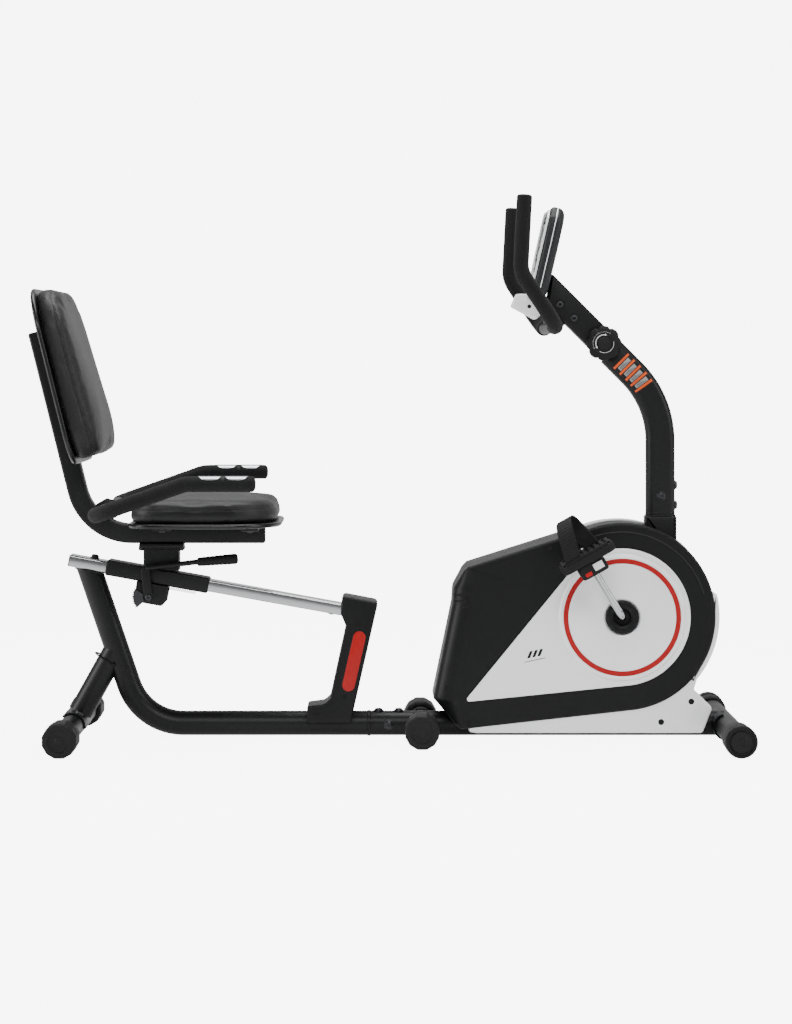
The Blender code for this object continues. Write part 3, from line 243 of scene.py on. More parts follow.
def leatherette():
    """Pebbled leatherette: rounded cells with soft creases between them, the creases painted darker as shade.
    """
    finish = Finish("black_leatherette", Specular_IOR_Level=0.25, Sheen_Weight=0.03, Sheen_Roughness=0.45)
    pebble_and_crease_shade = finish.cells(620, "SMOOTH_F1")
    fold = finish.noise(45, 4.0)
    drift = finish.noise(5, 3.0)
    tone = finish.blend(drift, (0.008, 0.008, 0.0083), (0.015, 0.015, 0.0156))
    # painted shade: the colour darkens from each pebble's middle out into the creases at its edge
    finish.feed("Base Color", finish.blend((pebble_and_crease_shade * 0.5).clamped(), tone, (0.0055, 0.0055, 0.0058)))
    finish.feed("Roughness", 0.36 + pebble_and_crease_shade * 0.18 + drift * 0.06)
    return finish.bump(1 - pebble_and_crease_shade + fold * 0.5, 0.00035, 0.55).material


def foam():
    """Closed-cell foam sleeve: a dry skin of small pits."""
    finish = Finish("black_foam", Specular_IOR_Level=0.14, Sheen_Weight=0.03, Sheen_Roughness=0.6)
    pits = finish.cells(1500)
    drift = finish.noise(40, 4.0)
    finish.feed("Base Color", finish.blend(drift, (0.0045, 0.0045, 0.0048), (0.009, 0.009, 0.0096)))
    finish.feed("Roughness", 0.72 + pits * 0.2)
    return finish.bump(pits + drift * 0.4, 0.0004, 0.6).material


def rubber():
    finish = Finish("moulded_rubber", Specular_IOR_Level=0.18)
    fine = finish.noise(700, 3.0, 0.7)
    drift = finish.noise(12, 3.0)
    finish.feed("Base Color", finish.blend(drift, (0.0042, 0.0042, 0.0042), (0.0085, 0.0085, 0.0085)))
    finish.feed("Roughness", 0.55 + fine * 0.2)
    return finish.bump(fine, 0.00025, 0.6).material


def gloss(name, dark, light, rough=0.22):
    """Gloss-coloured plastic with a faint moulding flow."""
    finish = Finish(name, Coat_Roughness=0.12, Coat_Weight=0.1, Specular_IOR_Level=0.25)
    flow = finish.noise(30, 4.0)
    finish.feed("Base Color", finish.blend(flow, dark, light))
    finish.feed("Roughness", rough + flow * 0.08)
    return finish.bump(finish.noise(260, 2.0), 0.00002, 0.3).material


def display():
    """A grey-green liquid-crystal window with a fine cell grid."""
    finish = Finish("display_window", Coat_Weight=0.4, Coat_Roughness=0.08, Specular_IOR_Level=0.3)
    grid = (finish.axis("Y") * 900).fraction() * (finish.axis("Z") * 900).fraction()
    tone = finish.noise(12, 2.0)
    base = finish.blend(tone, (0.085, 0.105, 0.093), (0.11, 0.13, 0.115))
    finish.feed("Base Color", finish.blend(grid * 0.15, base, (0.05, 0.062, 0.055)))
    finish.feed("Roughness", 0.18 + tone * 0.06)
    return finish.material


POWDER = powder_coat()
PLASTIC = moulded("black_housing_plastic", (0.0018, 0.0019, 0.0021), (0.0034, 0.0035, 0.0038), 0.4)
CAP_PLASTIC = moulded("black_cap_plastic", (0.004, 0.004, 0.0043), (0.0076, 0.0076, 0.008), 0.5, 500.0,
                      0.0002)
CONSOLE_PLASTIC = moulded("grey_console_plastic", (0.012, 0.0125, 0.0135), (0.02, 0.0205, 0.022), 0.42)
BUTTON_PLASTIC = moulded("button_plastic", (0.26, 0.27, 0.29), (0.33, 0.34, 0.36), 0.45)
SILVER = silver_paint()
CHROME = plated("rail_chrome", (0.4, 0.405, 0.415), 0.1, (3.0, 400.0, 60.0))
STEEL = plated("ground_steel", (0.52, 0.53, 0.55), 0.24, (200.0, 8.0, 200.0))
PULSE_STEEL = plated("sensor_steel", (0.45, 0.46, 0.48), 0.22, (15.0, 700.0, 700.0))
BOLT_STEEL = plated("blackened_bolt", (0.045, 0.046, 0.05), 0.3, (500.0, 500.0, 500.0))
LEATHERETTE = leatherette()
FOAM = foam()
RUBBER = rubber()
RED = gloss("red_inlay", (0.3, 0.0001, 0.0002), (0.36, 0.0004, 0.0005), 0.42)
ORANGE = gloss("orange_stripe", (0.56, 0.06, 0.004), (0.64, 0.08, 0.007), 0.4)
GREY_PRINT = gloss("grey_print", (0.22, 0.22, 0.22), (0.29, 0.29, 0.29), 0.5)
WHITE_PRINT = gloss("white_print", (0.62, 0.62, 0.62), (0.72, 0.72, 0.72), 0.4)
DARK_HOLE = moulded("dark_recess", (0.004, 0.004, 0.004), (0.007, 0.007, 0.007), 0.7)
DISPLAY = display()
THREAD = gloss("black_thread", (0.03, 0.03, 0.031), (0.045, 0.045, 0.047), 0.5)
TRIM = gloss("black_edge_trim", (0.0045, 0.0045, 0.0045), (0.0085, 0.0085, 0.0085), 0.24)




# ---- Surfaces as arrays ----

def vec(*parts):
    return np.array(parts, float)


def unit(vectors):
    return vectors / np.linalg.norm(vectors, axis=-1, keepdims=True)


def bend(corners, radii, steps=12):
    """A path through the corners with each corner an arc: centre plus a vector turned evenly between
    its ends."""
    corners = np.array(corners, float)
    radii = np.broadcast_to(radii, len(corners) - 2)
    path = [corners[:1]]
    for before, corner, after, radius in zip(corners, corners[1:], corners[2:], radii):
        back, ahead = unit(before - corner), unit(after - corner)
        half = math.acos(np.clip(back @ ahead, -1, 1)) / 2
        centre = corner + unit(back + ahead) * radius / math.sin(half)
        start = corner + back * radius / math.tan(half) - centre
        end = corner + ahead * radius / math.tan(half) - centre
        turn = math.pi - 2 * half
        share = np.linspace(0, 1, steps + 1)[:, None]
        path.append(centre + (start * np.sin((1 - share) * turn)
                              + end * np.sin(share * turn)) / math.sin(turn))
    return np.concatenate(path + [corners[-1:]])


def at_y(path, y):
    """A side path made 3D at this y."""
    path = np.asarray(path, float)
    return np.column_stack([path[:, 0], np.full(len(path), y), path[:, 1]])


def frames(path, side=None):
    """Tangents with side and up vectors: a fixed side, or one carried along the path without twist."""
    steps = unit(np.diff(path, axis=0))
    tangent = unit(np.concatenate([steps[:1], steps[:-1] + steps[1:], steps[-1:]]))
    if side is not None:
        sides = np.broadcast_to(np.array(side, float), path.shape)
    else:
        start = np.cross(tangent[0], (0, 0, 1) if abs(tangent[0][2]) < 0.9 else (1, 0, 0))
        carried = [unit(start)]
        for along in tangent[1:]:
            carried.append(unit(carried[-1] - along * (carried[-1] @ along)))
        sides = np.array(carried)
    return tangent, sides, np.cross(tangent, sides)


def ring_faces(rows, columns, start=0):
    """Quads between neighbouring closed rings of points."""
    row, column = np.meshgrid(np.arange(rows - 1), np.arange(columns), indexing="ij")
    beside = (column + 1) % columns
    quads = np.stack([row * columns + column, row * columns + beside, (row + 1) * columns + beside,
                      (row + 1) * columns + column], axis=-1)
    return (quads.reshape(-1, 4) + start).tolist()


def tube_of(rings, capped=True):
    """A shape from closed rings of points, one row for each ring."""
    rows, columns = rings.shape[:2]
    faces = ring_faces(rows, columns)
    if capped:
        faces += [list(range(columns))[::-1], list(range((rows - 1) * columns, rows * columns))]
    return rings.reshape(-1, 3), faces


def closed_tube(path, section):
    """A section carried round a closed path, with no caps."""
    path = path[:-1]
    tangent = unit(np.roll(path, -1, axis=0) - np.roll(path, 1, axis=0))
    middle = path.mean(axis=0)
    out = path - middle
    out = unit(out - (out * tangent).sum(axis=1)[:, None] * tangent)
    up = np.cross(tangent, out)
    rings = path[:, None, :] + section[None, :, 0:1] * out[:, None, :] + section[None, :, 1:2] * up[:, None,
                                                                                                    :]
    return tube_of(np.concatenate([rings, rings[:1]]), capped=False)


def round_section(radius, count=40):
    angle = np.arange(count) * 2 * math.pi / count
    return radius * np.column_stack([np.cos(angle), np.sin(angle)])


def box_section(width, height, corner, per_corner=6):
    """A rectangle with round corners: four quarter circles about inner corners."""
    parts = []
    for k, (sx, sy) in enumerate(((1, 1), (-1, 1), (-1, -1), (1, -1))):
        angle = np.linspace(k, k + 1, per_corner) * math.pi / 2
        parts.append(np.column_stack([sx * (width / 2 - corner) + corner * np.cos(angle),
                                      sy * (height / 2 - corner) + corner * np.sin(angle)]))
    return np.concatenate(parts)


def sweep(path, section, side=None, ends=(0.0, 0.0), scale=None):
    """A section carried along a path: point = path + across * side + up * height. Ends are rounded by
    ends."""
    path = np.asarray(path, float)
    scale = np.ones((len(path), 2)) if scale is None else np.asarray(scale, float)
    tangent, sides, ups = frames(path, side)
    half = np.abs(section).max(axis=0)
    angle = np.linspace(0, math.pi / 2, 5)
    rows, sizes, across, up = [path], [scale], [sides], [ups]
    for radius, end, way in ((ends[0], 0, 1), (ends[1], -1, -1)):
        if not radius:
            continue
        reach = radius * (1 - np.cos(angle))[:, None]
        inset = radius * (1 - np.sin(angle))[:, None]
        places = path[end] + way * tangent[end] * reach
        shares = scale[end] * (1 - inset / half)
        if way > 0:
            rows = [places, *[rows[0][1:]], *rows[1:]]
            sizes = [shares, *[sizes[0][1:]], *sizes[1:]]
            across = [np.repeat(sides[end:end + 1], 5, 0), across[0][1:]]
            up = [np.repeat(ups[end:end + 1], 5, 0), up[0][1:]]
        else:
            for held in (rows, sizes, across, up):
                held[-1] = held[-1][:-1]
            rows.append(places[::-1])
            sizes.append(shares[::-1])
            across.append(np.repeat(sides[-1:], 5, 0))
            up.append(np.repeat(ups[-1:], 5, 0))
    path, size = np.concatenate(rows), np.concatenate(sizes)
    side_part = section[None, :, 0:1] * size[:, None, 0:1] * np.concatenate(across)[:, None, :]
    up_part = section[None, :, 1:2] * size[:, None, 1:2] * np.concatenate(up)[:, None, :]
    return tube_of(path[:, None, :] + side_part + up_part)


def lathe(profile, base=(0, 0, 0), axis=(0, 1, 0), steps=56, wave=None):
    """A profile of (radius, height) turned round an axis: point = base + axis * height + radius * outward.
    wave(angle, row) gives a factor on the radius."""
    profile = np.array(profile, float)
    axis = unit(np.array(axis, float))
    first = unit(np.cross(axis, (0, 0, 1) if abs(axis[2]) < 0.9 else (1, 0, 0)))
    second = np.cross(axis, first)
    angle = np.arange(steps) * 2 * math.pi / steps
    outward = np.cos(angle)[:, None] * first + np.sin(angle)[:, None] * second
    radius = np.repeat(profile[:, :1], steps, axis=1)
    if wave:
        radius = radius * wave(angle[None, :], np.arange(len(profile))[:, None])
    rings = np.array(base, float) + profile[:, 1, None, None] * axis + radius[..., None] * outward
    return tube_of(rings, capped=False)


def loop_lathe(profile, **settings):
    """A closed ring-shaped profile turned round an axis."""
    return lathe(list(profile) + [profile[0]], **settings)


def edge_offset(outline, distance):
    """A closed anticlockwise outline moved outwards along the mean of each corner's two edge normals."""
    into = unit(outline - np.roll(outline, 1, axis=0))
    out = unit(np.roll(outline, -1, axis=0) - outline)
    mitre = np.column_stack([into[:, 1] + out[:, 1], -into[:, 0] - out[:, 0]])
    return outline + mitre * distance / (1 + (into * out).sum(axis=1))[:, None]


def slab(outline, low, high, edge=0.002, steps=4, crown=0.0, dome_rings=6):
    """A side outline between two y values. Its edges are quarter circles: inset = edge * (1 - sin), rise =
    edge * (1 - cos). A crown lifts the face towards its middle by crown * (1 - share squared)."""
    outline = np.asarray(outline, float)
    angle = np.linspace(0, math.pi / 2, steps + 1) if edge else vec(math.pi / 2)
    rows = []
    for t in angle:
        rows.append((edge_offset(outline, -edge * (1 - math.sin(t))), low + edge * (1 - math.cos(t))))
    for t in angle[::-1]:
        rows.append((edge_offset(outline, -edge * (1 - math.sin(t))), high - edge * (1 - math.cos(t))))
    rings = np.array([at_y(ring, y) for ring, y in rows])
    if crown:
        for end, way in ((0, -1), (-1, 1)):
            rim = rings[end]
            middle = rim.mean(axis=0)
            domes = []
            for share in np.linspace(1, 0.04, dome_rings + 1)[1:]:
                dome = middle + (rim - middle) * share
                dome[:, 1] = rim[0, 1] + way * crown * (1 - share ** 2)
                domes.append(dome)
            rings = np.concatenate([np.array(domes[::-1]), rings] if end == 0 else [rings, np.array(domes)])
    return tube_of(rings)


def shell_half(outline, inner, outer, edge, seam=0.0006, steps=6):
    """One half of a two-part shell: a rim from the seam to a rounded outer edge, closed by a flat face."""
    way = 1 if outer > inner else -1
    outline = np.asarray(outline, float)
    rows = [(edge_offset(outline, -seam), inner), (outline, inner + way * seam)]
    for t in np.linspace(0, math.pi / 2, steps + 1):
        rows.append((edge_offset(outline, -edge * (1 - math.cos(t))), outer - way * edge * (1 - math.sin(t))))
    return tube_of(np.array([at_y(ring, y) for ring, y in rows]))


def merge(*shapes):
    """Several shapes as one mesh."""
    points, faces, start = [], [], 0
    for shape_points, shape_faces in shapes:
        points.append(np.asarray(shape_points, float))
        faces += [[corner + start for corner in face] for face in shape_faces]
        start += len(shape_points)
    return np.concatenate(points), faces


def arc(centre, radius, start, end, steps=24):
    angle = np.linspace(start, end, steps + 1)
    return vec(*centre) + radius * np.column_stack([np.cos(angle), np.sin(angle)])


def circle(centre, radius, steps=72):
    return arc(centre, radius, 0, 2 * math.pi * (1 - 1 / steps), steps - 1)


def rounded(corners, radii, steps=6):
    """A closed outline through the corners, each made an arc of its radius."""
    corners = np.array(corners, float)
    radii = np.broadcast_to(radii, len(corners))
    looped = np.concatenate([corners[-1:], corners, corners[:1]])
    return np.concatenate([bend(looped[k:k + 3], radii[k], steps)[1:-1] if radii[k] else corners[k:k + 1]
                           for k in range(len(corners)) ])


def band(path, width):
    """A strip of this width along a path, as an outline: each point moved half the width to either side."""
    path = np.asarray(path, float)
    steps = unit(np.diff(path, axis=0))
    tangent = unit(np.concatenate([steps[:1], steps[:-1] + steps[1:], steps[-1:]]))
    normal = np.column_stack([tangent[:, 1], -tangent[:, 0]]) * width / 2
    return np.concatenate([path + normal, (path - normal)[::-1]])


def stadium(first, second, radius, steps=14):
    """A slot outline: two half circles joined by straight sides."""
    along = math.atan2(second[1] - first[1], second[0] - first[0])
    return np.concatenate([arc(second, radius, along - math.pi / 2, along + math.pi / 2, steps),
                           arc(first, radius, along + math.pi / 2, along + 1.5 * math.pi, steps)])


def piece(name, shape, material, body="root", replaces=(), sharp=38, weld=True):
    """Makes the object, turns its faces outwards, shades it and rides it on its body."""
    points, faces = shape
    mesh = bpy.data.meshes.new(name)
    mesh.from_pydata(np.asarray(points).tolist(), [], faces)
    work = bmesh.new()
    work.from_mesh(mesh)
    if weld:
        bmesh.ops.remove_doubles(work, verts=work.verts, dist=2e-6)
    bmesh.ops.recalc_face_normals(work, faces=work.faces)
    work.to_mesh(mesh)
    work.free()
    made = bpy.data.objects.new(name, mesh)
    bpy.context.scene.collection.objects.link(made)
    mesh.materials.append(material)
    mesh.shade_smooth()
    mesh.set_sharp_from_angle(angle=math.radians(sharp))
    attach(made, body)
    if replaces:
        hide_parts(*([replaces] if isinstance(replaces, str) else replaces))
    return made


def bolt(name, place, direction, radius, body="root", height=None, socket=True, material=None):
    """A domed cap screw with a hexagon socket: the profile's inner rows are made six-sided."""
    height = height or radius * 0.62
    deep = 0.35 * height
    rows = [(0, deep), (0.42 * radius, deep), (0.44 * radius, height * 0.985)] if socket else [(0, height)]
    curve = [(0.6, 0.97), (0.78, 0.88), (0.9, 0.7), (0.97, 0.45), (1.0, 0.2), (1.0, -0.3)]
    profile = rows + [(radius * r, height * h) for r, h in curve] + [(0, -0.3 * height)]
    hexagonal = np.array([row in (1, 2) and socket for row in range(len(profile))])[:, None]

    def wave(angle, row):
        corner = (angle + math.pi / 6) % (math.pi / 3) - math.pi / 6
        return np.where(hexagonal, 0.92 / np.cos(corner), 1.0)

    return piece(name, lathe(profile, place, direction, 36, wave), material or BOLT_STEEL, body)


def washer(name, place, direction, radius, body="root", thickness=0.0012):
    profile = [(radius * 0.5, 0), (radius, 0), (radius, thickness * 0.8), (radius * 0.97, thickness),
               (radius * 0.5, thickness)]
    return piece(name, loop_lathe(profile, base=place, axis=direction, steps=40), BOLT_STEEL, body)


def hexagon_nut(name, place, direction, radius, body="root", height=None):
    height = height or radius * 0.9
    profile = [(0, 0), (radius, 0), (radius, height * 0.9), (radius * 0.9, height), (radius * 0.4, height),
               (radius * 0.38, height * 1.25), (0, height * 1.3)]
    flat = np.array([row in (1, 2) for row in range(len(profile))])[:, None]

    def wave(angle, row):
        corner = (angle + math.pi / 6) % (math.pi / 3) - math.pi / 6
        return np.where(flat, 0.87 / np.cos(corner), 1.0)

    return piece(name, lathe(profile, place, direction, 36, wave), BOLT_STEEL, body)


# ---- Sizes shared with the frame ----

FOOT_Z = 0.0345
TUBE_R = 0.0254
FOOT_R = 0.0245
REAR_FOOT = (-0.645, FOOT_Z)
MIDDLE_FOOT = (0.0767, FOOT_Z)
FRONT_FOOT = (0.7071, 0.033)
WHEEL_R = 0.033
RAIL_SLOPE = math.radians(10.25)
RAIL_REAR = (-0.653, 0.374)
CRANK = (0.487, 0.263)
HANDLE_R = 0.0127


def rail_point(along, up=0.0):
    """A point measured along the rail and up from its centre line."""
    c, s = math.cos(RAIL_SLOPE), math.sin(RAIL_SLOPE)
    return vec(RAIL_REAR[0] + along * c + up * s, RAIL_REAR[1] - along * s + up * c)


RAIL_UP = (math.sin(RAIL_SLOPE), 0, math.cos(RAIL_SLOPE))


def polar(centre, radius, degrees):
    return vec(*centre) + radius * vec(math.cos(math.radians(degrees)), math.sin(math.radians(degrees)))


def on(point, y):
    return (point[0], y, point[1])


def weld_bead(name, centre, axis, radius, body="root", lean=None, thick=0.0035):
    """A weld round a tube: a ring whose thickness ripples with the weld's overlapping beads."""
    angle = np.linspace(0, 2 * math.pi, 97)[:-1]
    axis = unit(vec(*axis))
    first = unit(np.cross(axis, (0, 1, 0) if abs(axis[1]) < 0.9 else (0, 0, 1)))
    second = np.cross(axis, first)
    stretch = 1.0 if lean is None else lean
    path = vec(*centre) + radius * (np.cos(angle)[:, None] * first * stretch
                                    + np.sin(angle)[:, None] * second)
    outward = unit(path - vec(*centre))
    section = np.arange(10) * 2 * math.pi / 10
    size = thick * (0.85 + 0.15 * np.sin(angle * 26))
    rings = (path[:, None, :] + size[:, None, None] * (np.cos(section)[None, :, None] * outward[:, None, :]
                                                       + 0.6 * np.sin(section)[None, :, None] * axis))
    rings = np.concatenate([rings, rings[:1]])
    return piece(name, tube_of(rings, capped=False), POWDER, body)


# ---- Frame, feet and rail ----

def rear_frame():
    corner = vec(-0.504, FOOT_Z)
    lean = math.radians(18.9)
    up = vec(-math.sin(lean), math.cos(lean))
    top = corner + up * 0.323
    path = bend([(-0.0323, FOOT_Z), corner, top], 0.12, 20)
    points, faces = sweep(at_y(path, 0), round_section(TUBE_R, 56), (0, 1, 0))
    rings = points.reshape(-1, 56, 3)
    under = rail_point(0.0, -0.0122)
    normal = vec(*RAIL_UP)
    short = ((vec(under[0], 0, under[1]) - rings[-1]) @ normal) / (vec(up[0], 0, up[1]) @ normal)
    rings[-1] += short[:, None] * vec(up[0], 0, up[1])
    tube = rings.reshape(-1, 3), faces
    piece("rear_frame_tube", tube, POWDER, replaces="rear_frame")
    start = corner + up * (0.191 - FOOT_Z) / up[1]
    foot = vec(*REAR_FOOT)
    down = unit(foot - start)
    strut_end = foot - down * (FOOT_R + 0.002)
    strut = sweep(at_y([start, strut_end], 0), round_section(TUBE_R - 0.0006, 48), (0, 1, 0))
    piece("rear_frame_strut", strut, POWDER)
    joint = start + down * 0.03
    weld_bead("rear_strut_weld", on(joint, 0), (down[0], 0, down[1]), TUBE_R + 0.0005, lean=1.22)
    facing = math.atan2(-down[1], -down[0])
    saddle_plate("rear_saddle", REAR_FOOT, facing, 0.055)
    for hand, side in SIDES:
        place = vec(*REAR_FOOT) + (FOOT_R + 0.0045) * vec(math.cos(facing), math.sin(facing))
        bolt(f"rear_saddle_bolt_{hand}", on(place, side * 0.041), (math.cos(facing), 0, math.sin(facing)),
             0.0085)
    ring = np.concatenate([rings[-1], rings[-1][:1]]) - vec(up[0], 0, up[1]) * 0.0015
    piece("rail_seat_weld", closed_tube(ring, round_section(0.0026, 10)), POWDER)


def saddle_plate(name, foot, facing, half_width):
    """A plate curved round a foot tube, with rounded ends: thickness runs between two arcs."""
    reach = math.radians(72)
    outer, inner = FOOT_R + 0.0042, FOOT_R + 0.0004
    outline = np.concatenate([arc(foot, outer, facing - reach, facing + reach, 28),
                              arc(foot, inner, facing + reach, facing - reach, 28)])
    return piece(name, slab(outline, -half_width, half_width, 0.0012, 3), POWDER)


def front_frame():
    beam = sweep([(-0.0317, 0, FOOT_Z), (0.69, 0, FOOT_Z)], round_section(TUBE_R * 1.0015, 64), (0, 1, 0))
    piece("front_beam_tube", beam, POWDER)
    middle = sweep([(MIDDLE_FOOT[0], -0.14, FOOT_Z), (MIDDLE_FOOT[0], 0.14, FOOT_Z)],
                   round_section(FOOT_R * 1.002, 56), (1, 0, 0))
    piece("middle_foot_tube", middle, POWDER)
    for hand, side in SIDES:
        weld_bead(f"middle_foot_weld_{hand}", (MIDDLE_FOOT[0], side * 0.0262, FOOT_Z), (0, 1, 0),
                  FOOT_R + 0.0006)
        near = side * (TUBE_R + 0.0003)
        bolt(f"beam_joint_side_bolt_{hand}", (0.009, near, FOOT_Z), (0, side, 0), 0.0082)
        washer(f"beam_joint_side_washer_{hand}", (0.009, near - side * 0.0004, FOOT_Z), (0, side, 0), 0.0105)
    for number, x in enumerate((-0.012, 0.03)):
        bolt(f"beam_joint_top_bolt_{number + 1}", (x, 0, FOOT_Z + TUBE_R + 0.0005), (0, 0, 1), 0.0084)
        washer(f"beam_joint_top_washer_{number + 1}", (x, 0, FOOT_Z + TUBE_R), (0, 0, 1), 0.0108)
    lip = [(TUBE_R + 0.0002, -0.0035), (TUBE_R + 0.0014, -0.0026), (TUBE_R + 0.0014, 0.0026),
           (TUBE_R + 0.0002, 0.0035)]
    piece("beam_joint_lip", loop_lathe(lip, base=(-0.032, 0, FOOT_Z), axis=(1, 0, 0)), POWDER)
    saddle_plate("front_saddle", FRONT_FOOT, math.pi, 0.055)
    for hand, side in SIDES:
        place = polar(FRONT_FOOT, FOOT_R + 0.0045, 145)
        bolt(f"front_saddle_bolt_{hand}", on(place, side * 0.041),
             (math.cos(math.radians(145)), 0, math.sin(math.radians(145))), 0.0078)


def feet():
    for name, foot, half in (("rear", REAR_FOOT, 0.262), ("front", FRONT_FOOT, 0.262)):
        tube = sweep([(foot[0], -half, foot[1]), (foot[0], half, foot[1])], round_section(FOOT_R, 56),
                     (1, 0, 0))
        piece(f"{name}_foot_tube", tube, POWDER, replaces=f"{name}_stabilizer")
    for name, foot, half in (("rear", REAR_FOOT, 0.262), ("middle", MIDDLE_FOOT, 0.145)):
        for hand, side in SIDES:
            levelling_cap(f"{name}_cap_{hand}", foot, side * (half + 0.0083), side)
    for hand, side in SIDES:
        transport_wheel(f"front_wheel_{hand}", FRONT_FOOT, side * 0.2703, side)


def twelve_sided(angle, sharpness=1.0):
    """The radius of a twelve-sided shape over that of its inner circle, its corners softened."""
    corner = (angle + math.pi / 12 + math.pi / 2) % (math.pi / 6) - math.pi / 12
    return 1 + sharpness * (np.minimum(1 / np.cos(corner), 1.026) - 1)


def levelling_cap(name, foot, end, side):
    """A turned profile made twelve-sided outside, with a dished end, a rim step and a skirt lip."""
    flat = FOOT_Z
    profile = [(0.0, 0.0016), (0.007, 0.0016), (0.0085, 0.0026), (0.019, 0.003), (0.0215, 0.0022),
               (0.0225, 0.0004), (flat - 0.0045, 0.0), (flat - 0.0022, 0.0009), (flat - 0.0006, 0.0028),
               (flat, 0.0055), (flat, 0.034), (flat - 0.0012, 0.0352), (flat - 0.0012, 0.037),
               (flat, 0.0382), (flat, 0.0665), (flat - 0.0006, 0.07), (flat - 0.0026, 0.0735),
               (flat - 0.0055, 0.075), (FOOT_R + 0.0012, 0.075), (FOOT_R + 0.0004, 0.074),
               (FOOT_R + 0.0004, 0.0105), (0.0, 0.0105), ]
    outer = np.array([radius > 0.0275 for radius, _ in profile])[:, None]

    def wave(angle, row):
        return np.where(outer, twelve_sided(angle), 1.0)

    shape = lathe(profile, (foot[0], end, foot[1]), (0, -side, 0), 144, wave)
    piece(name + "_moulding", shape, CAP_PLASTIC, name, replaces=name, sharp=28)


def transport_wheel(name, foot, end, side):
    """A wheel cap: a serrated tread, radius * (1 + 0.012 * triangle wave), between smooth shoulders."""
    profile = [(0.0, 0.0022), (0.008, 0.0022), (0.0095, 0.0008), (0.021, 0.0008), (0.0225, 0.003),
               (0.026, 0.003), (0.0272, 0.0002), (WHEEL_R - 0.0035, 0.0), (WHEEL_R - 0.0016, 0.0008),
               (WHEEL_R - 0.0006, 0.0028), (WHEEL_R - 0.0004, 0.0045), (WHEEL_R - 0.0004, 0.029),
               (WHEEL_R - 0.003, 0.03), (WHEEL_R - 0.0034, 0.0345), (WHEEL_R - 0.0018, 0.036),
               (WHEEL_R - 0.0018, 0.07), (WHEEL_R - 0.004, 0.0745), (FOOT_R + 0.0012, 0.075),
               (FOOT_R + 0.0004, 0.074), (FOOT_R + 0.0004, 0.0105), (0.0, 0.0105), ]
    tread = np.array([0.004 < height < 0.0295 and radius > 0.03 for radius, height in profile])[:, None]

    def wave(angle, row):
        tooth = np.abs((angle * 48 / (2 * math.pi)) % 1 - 0.5) * 2
        return np.where(tread, 0.985 + 0.022 * np.minimum(tooth * 1.6, 1.0), 1.0)

    shape = lathe(profile, (foot[0], end, foot[1]), (0, -side, 0), 192, wave)
    piece(name + "_moulding", shape, CAP_PLASTIC, name, replaces=name, sharp=28)


def rail():
    path = [rail_point(0.0), rail_point(0.612)]
    bar = sweep(at_y(path, 0), box_section(0.05, 0.024, 0.0035, 7), (0, 1, 0))
    piece("rail_bar", bar, CHROME, replaces="seat_rail")
    plug = sweep(at_y([rail_point(-0.0022), rail_point(0.004)], 0), box_section(0.0495, 0.0235, 0.0035, 7),
                 (0, 1, 0), (0.0015, 0))
    piece("rail_end_plug", plug, CAP_PLASTIC)
    bolt("rail_rear_bolt", on(rail_point(0.0488, 0.0122), 0), RAIL_UP, 0.0085, height=0.0085, socket=False,
         material=CAP_PLASTIC)
    washer("rail_rear_washer", on(rail_point(0.0488, 0.012), 0), RAIL_UP, 0.0105)
    bolt("rail_stop_bolt", on(rail_point(0.553, -0.0122), 0), tuple(-part for part in RAIL_UP), 0.0058)


def rail_support():
    """The plastic halves round the post that carries the rail's front end, with the red inlay and screw
    holes."""
    corners = [(-0.0697, 0.041), (-0.0637, 0.065), (-0.0127, 0.289), (-0.0875, 0.3035), (-0.0905, 0.266),
               (-0.08, 0.2406), (-0.1125, 0.09), (-0.124, 0.079), (-0.16, 0.0745), (-0.16, 0.041)]
    radii = [0.006, 0.012, 0.008, 0.008, 0.006, 0.01, 0.014, 0.016, 0.006, 0.006]
    outline = rounded(corners, radii, 6)
    low, high = (-0.0739, 0.1185), (-0.0516, 0.2168)
    for hand, side in SIDES:
        half = shell_half(outline, side * GAP, side * 0.045, 0.0045, seam=0.0009)
        piece(f"rail_shroud_{hand}_shell", half, PLASTIC, replaces=f"rail_shroud_{hand}")
        y = sorted((side * 0.044, side * 0.0462))
        piece(f"rail_shroud_inlay_{hand}", slab(stadium(low, high, 0.013), *y, 0.0009, 3), RED)
        rim = sorted((side * 0.0444, side * 0.0455))
        piece(f"rail_shroud_rim_{hand}", slab(stadium(low, high, 0.015), *rim, 0.0006, 3), PLASTIC)
        for number, spot in enumerate(((-0.055, 0.246), (-0.0835, 0.094), (-0.14, 0.058))):
            screw_recess(f"rail_shroud_screw_{hand}_{number + 1}", spot, side * 0.045, side, 0.004)


def screw_recess(name, spot, y, side, radius, body="root"):
    """A dark screw hole with a raised lip."""
    lip = [(radius * 0.82, 0.0002), (radius * 0.9, 0.0007), (radius * 1.05, 0.0007), (radius * 1.15, 0.0),
           (radius * 1.15, -0.0005), (radius * 0.82, -0.0005)]
    piece(name + "_lip", loop_lathe(lip, base=on(spot, y), axis=(0, side, 0), steps=36), PLASTIC, body)
    dark = [(0, 0.0003), (radius * 0.84, 0.0003), (radius * 0.84, -0.0004), (0, -0.0004)]
    piece(name, lathe(dark, on(spot, y), (0, side, 0), 36), DARK_HOLE, body)


# ---- Seat carriage, clamp and lever ----

SEAT_LEAN = math.radians(14.07)
SEAT_UP = vec(-math.sin(SEAT_LEAN), math.cos(SEAT_LEAN))
SEAT_OUT = vec(SEAT_UP[1], -SEAT_UP[0])
SEAT_CORNER = vec(-0.6159, 0.4295)
GRIP_R = 0.01545
LEVER_Y = -0.045


def on_back(up, out):
    """A point measured up the backrest tube and out from its centre line."""
    return SEAT_CORNER + SEAT_UP * up + SEAT_OUT * out


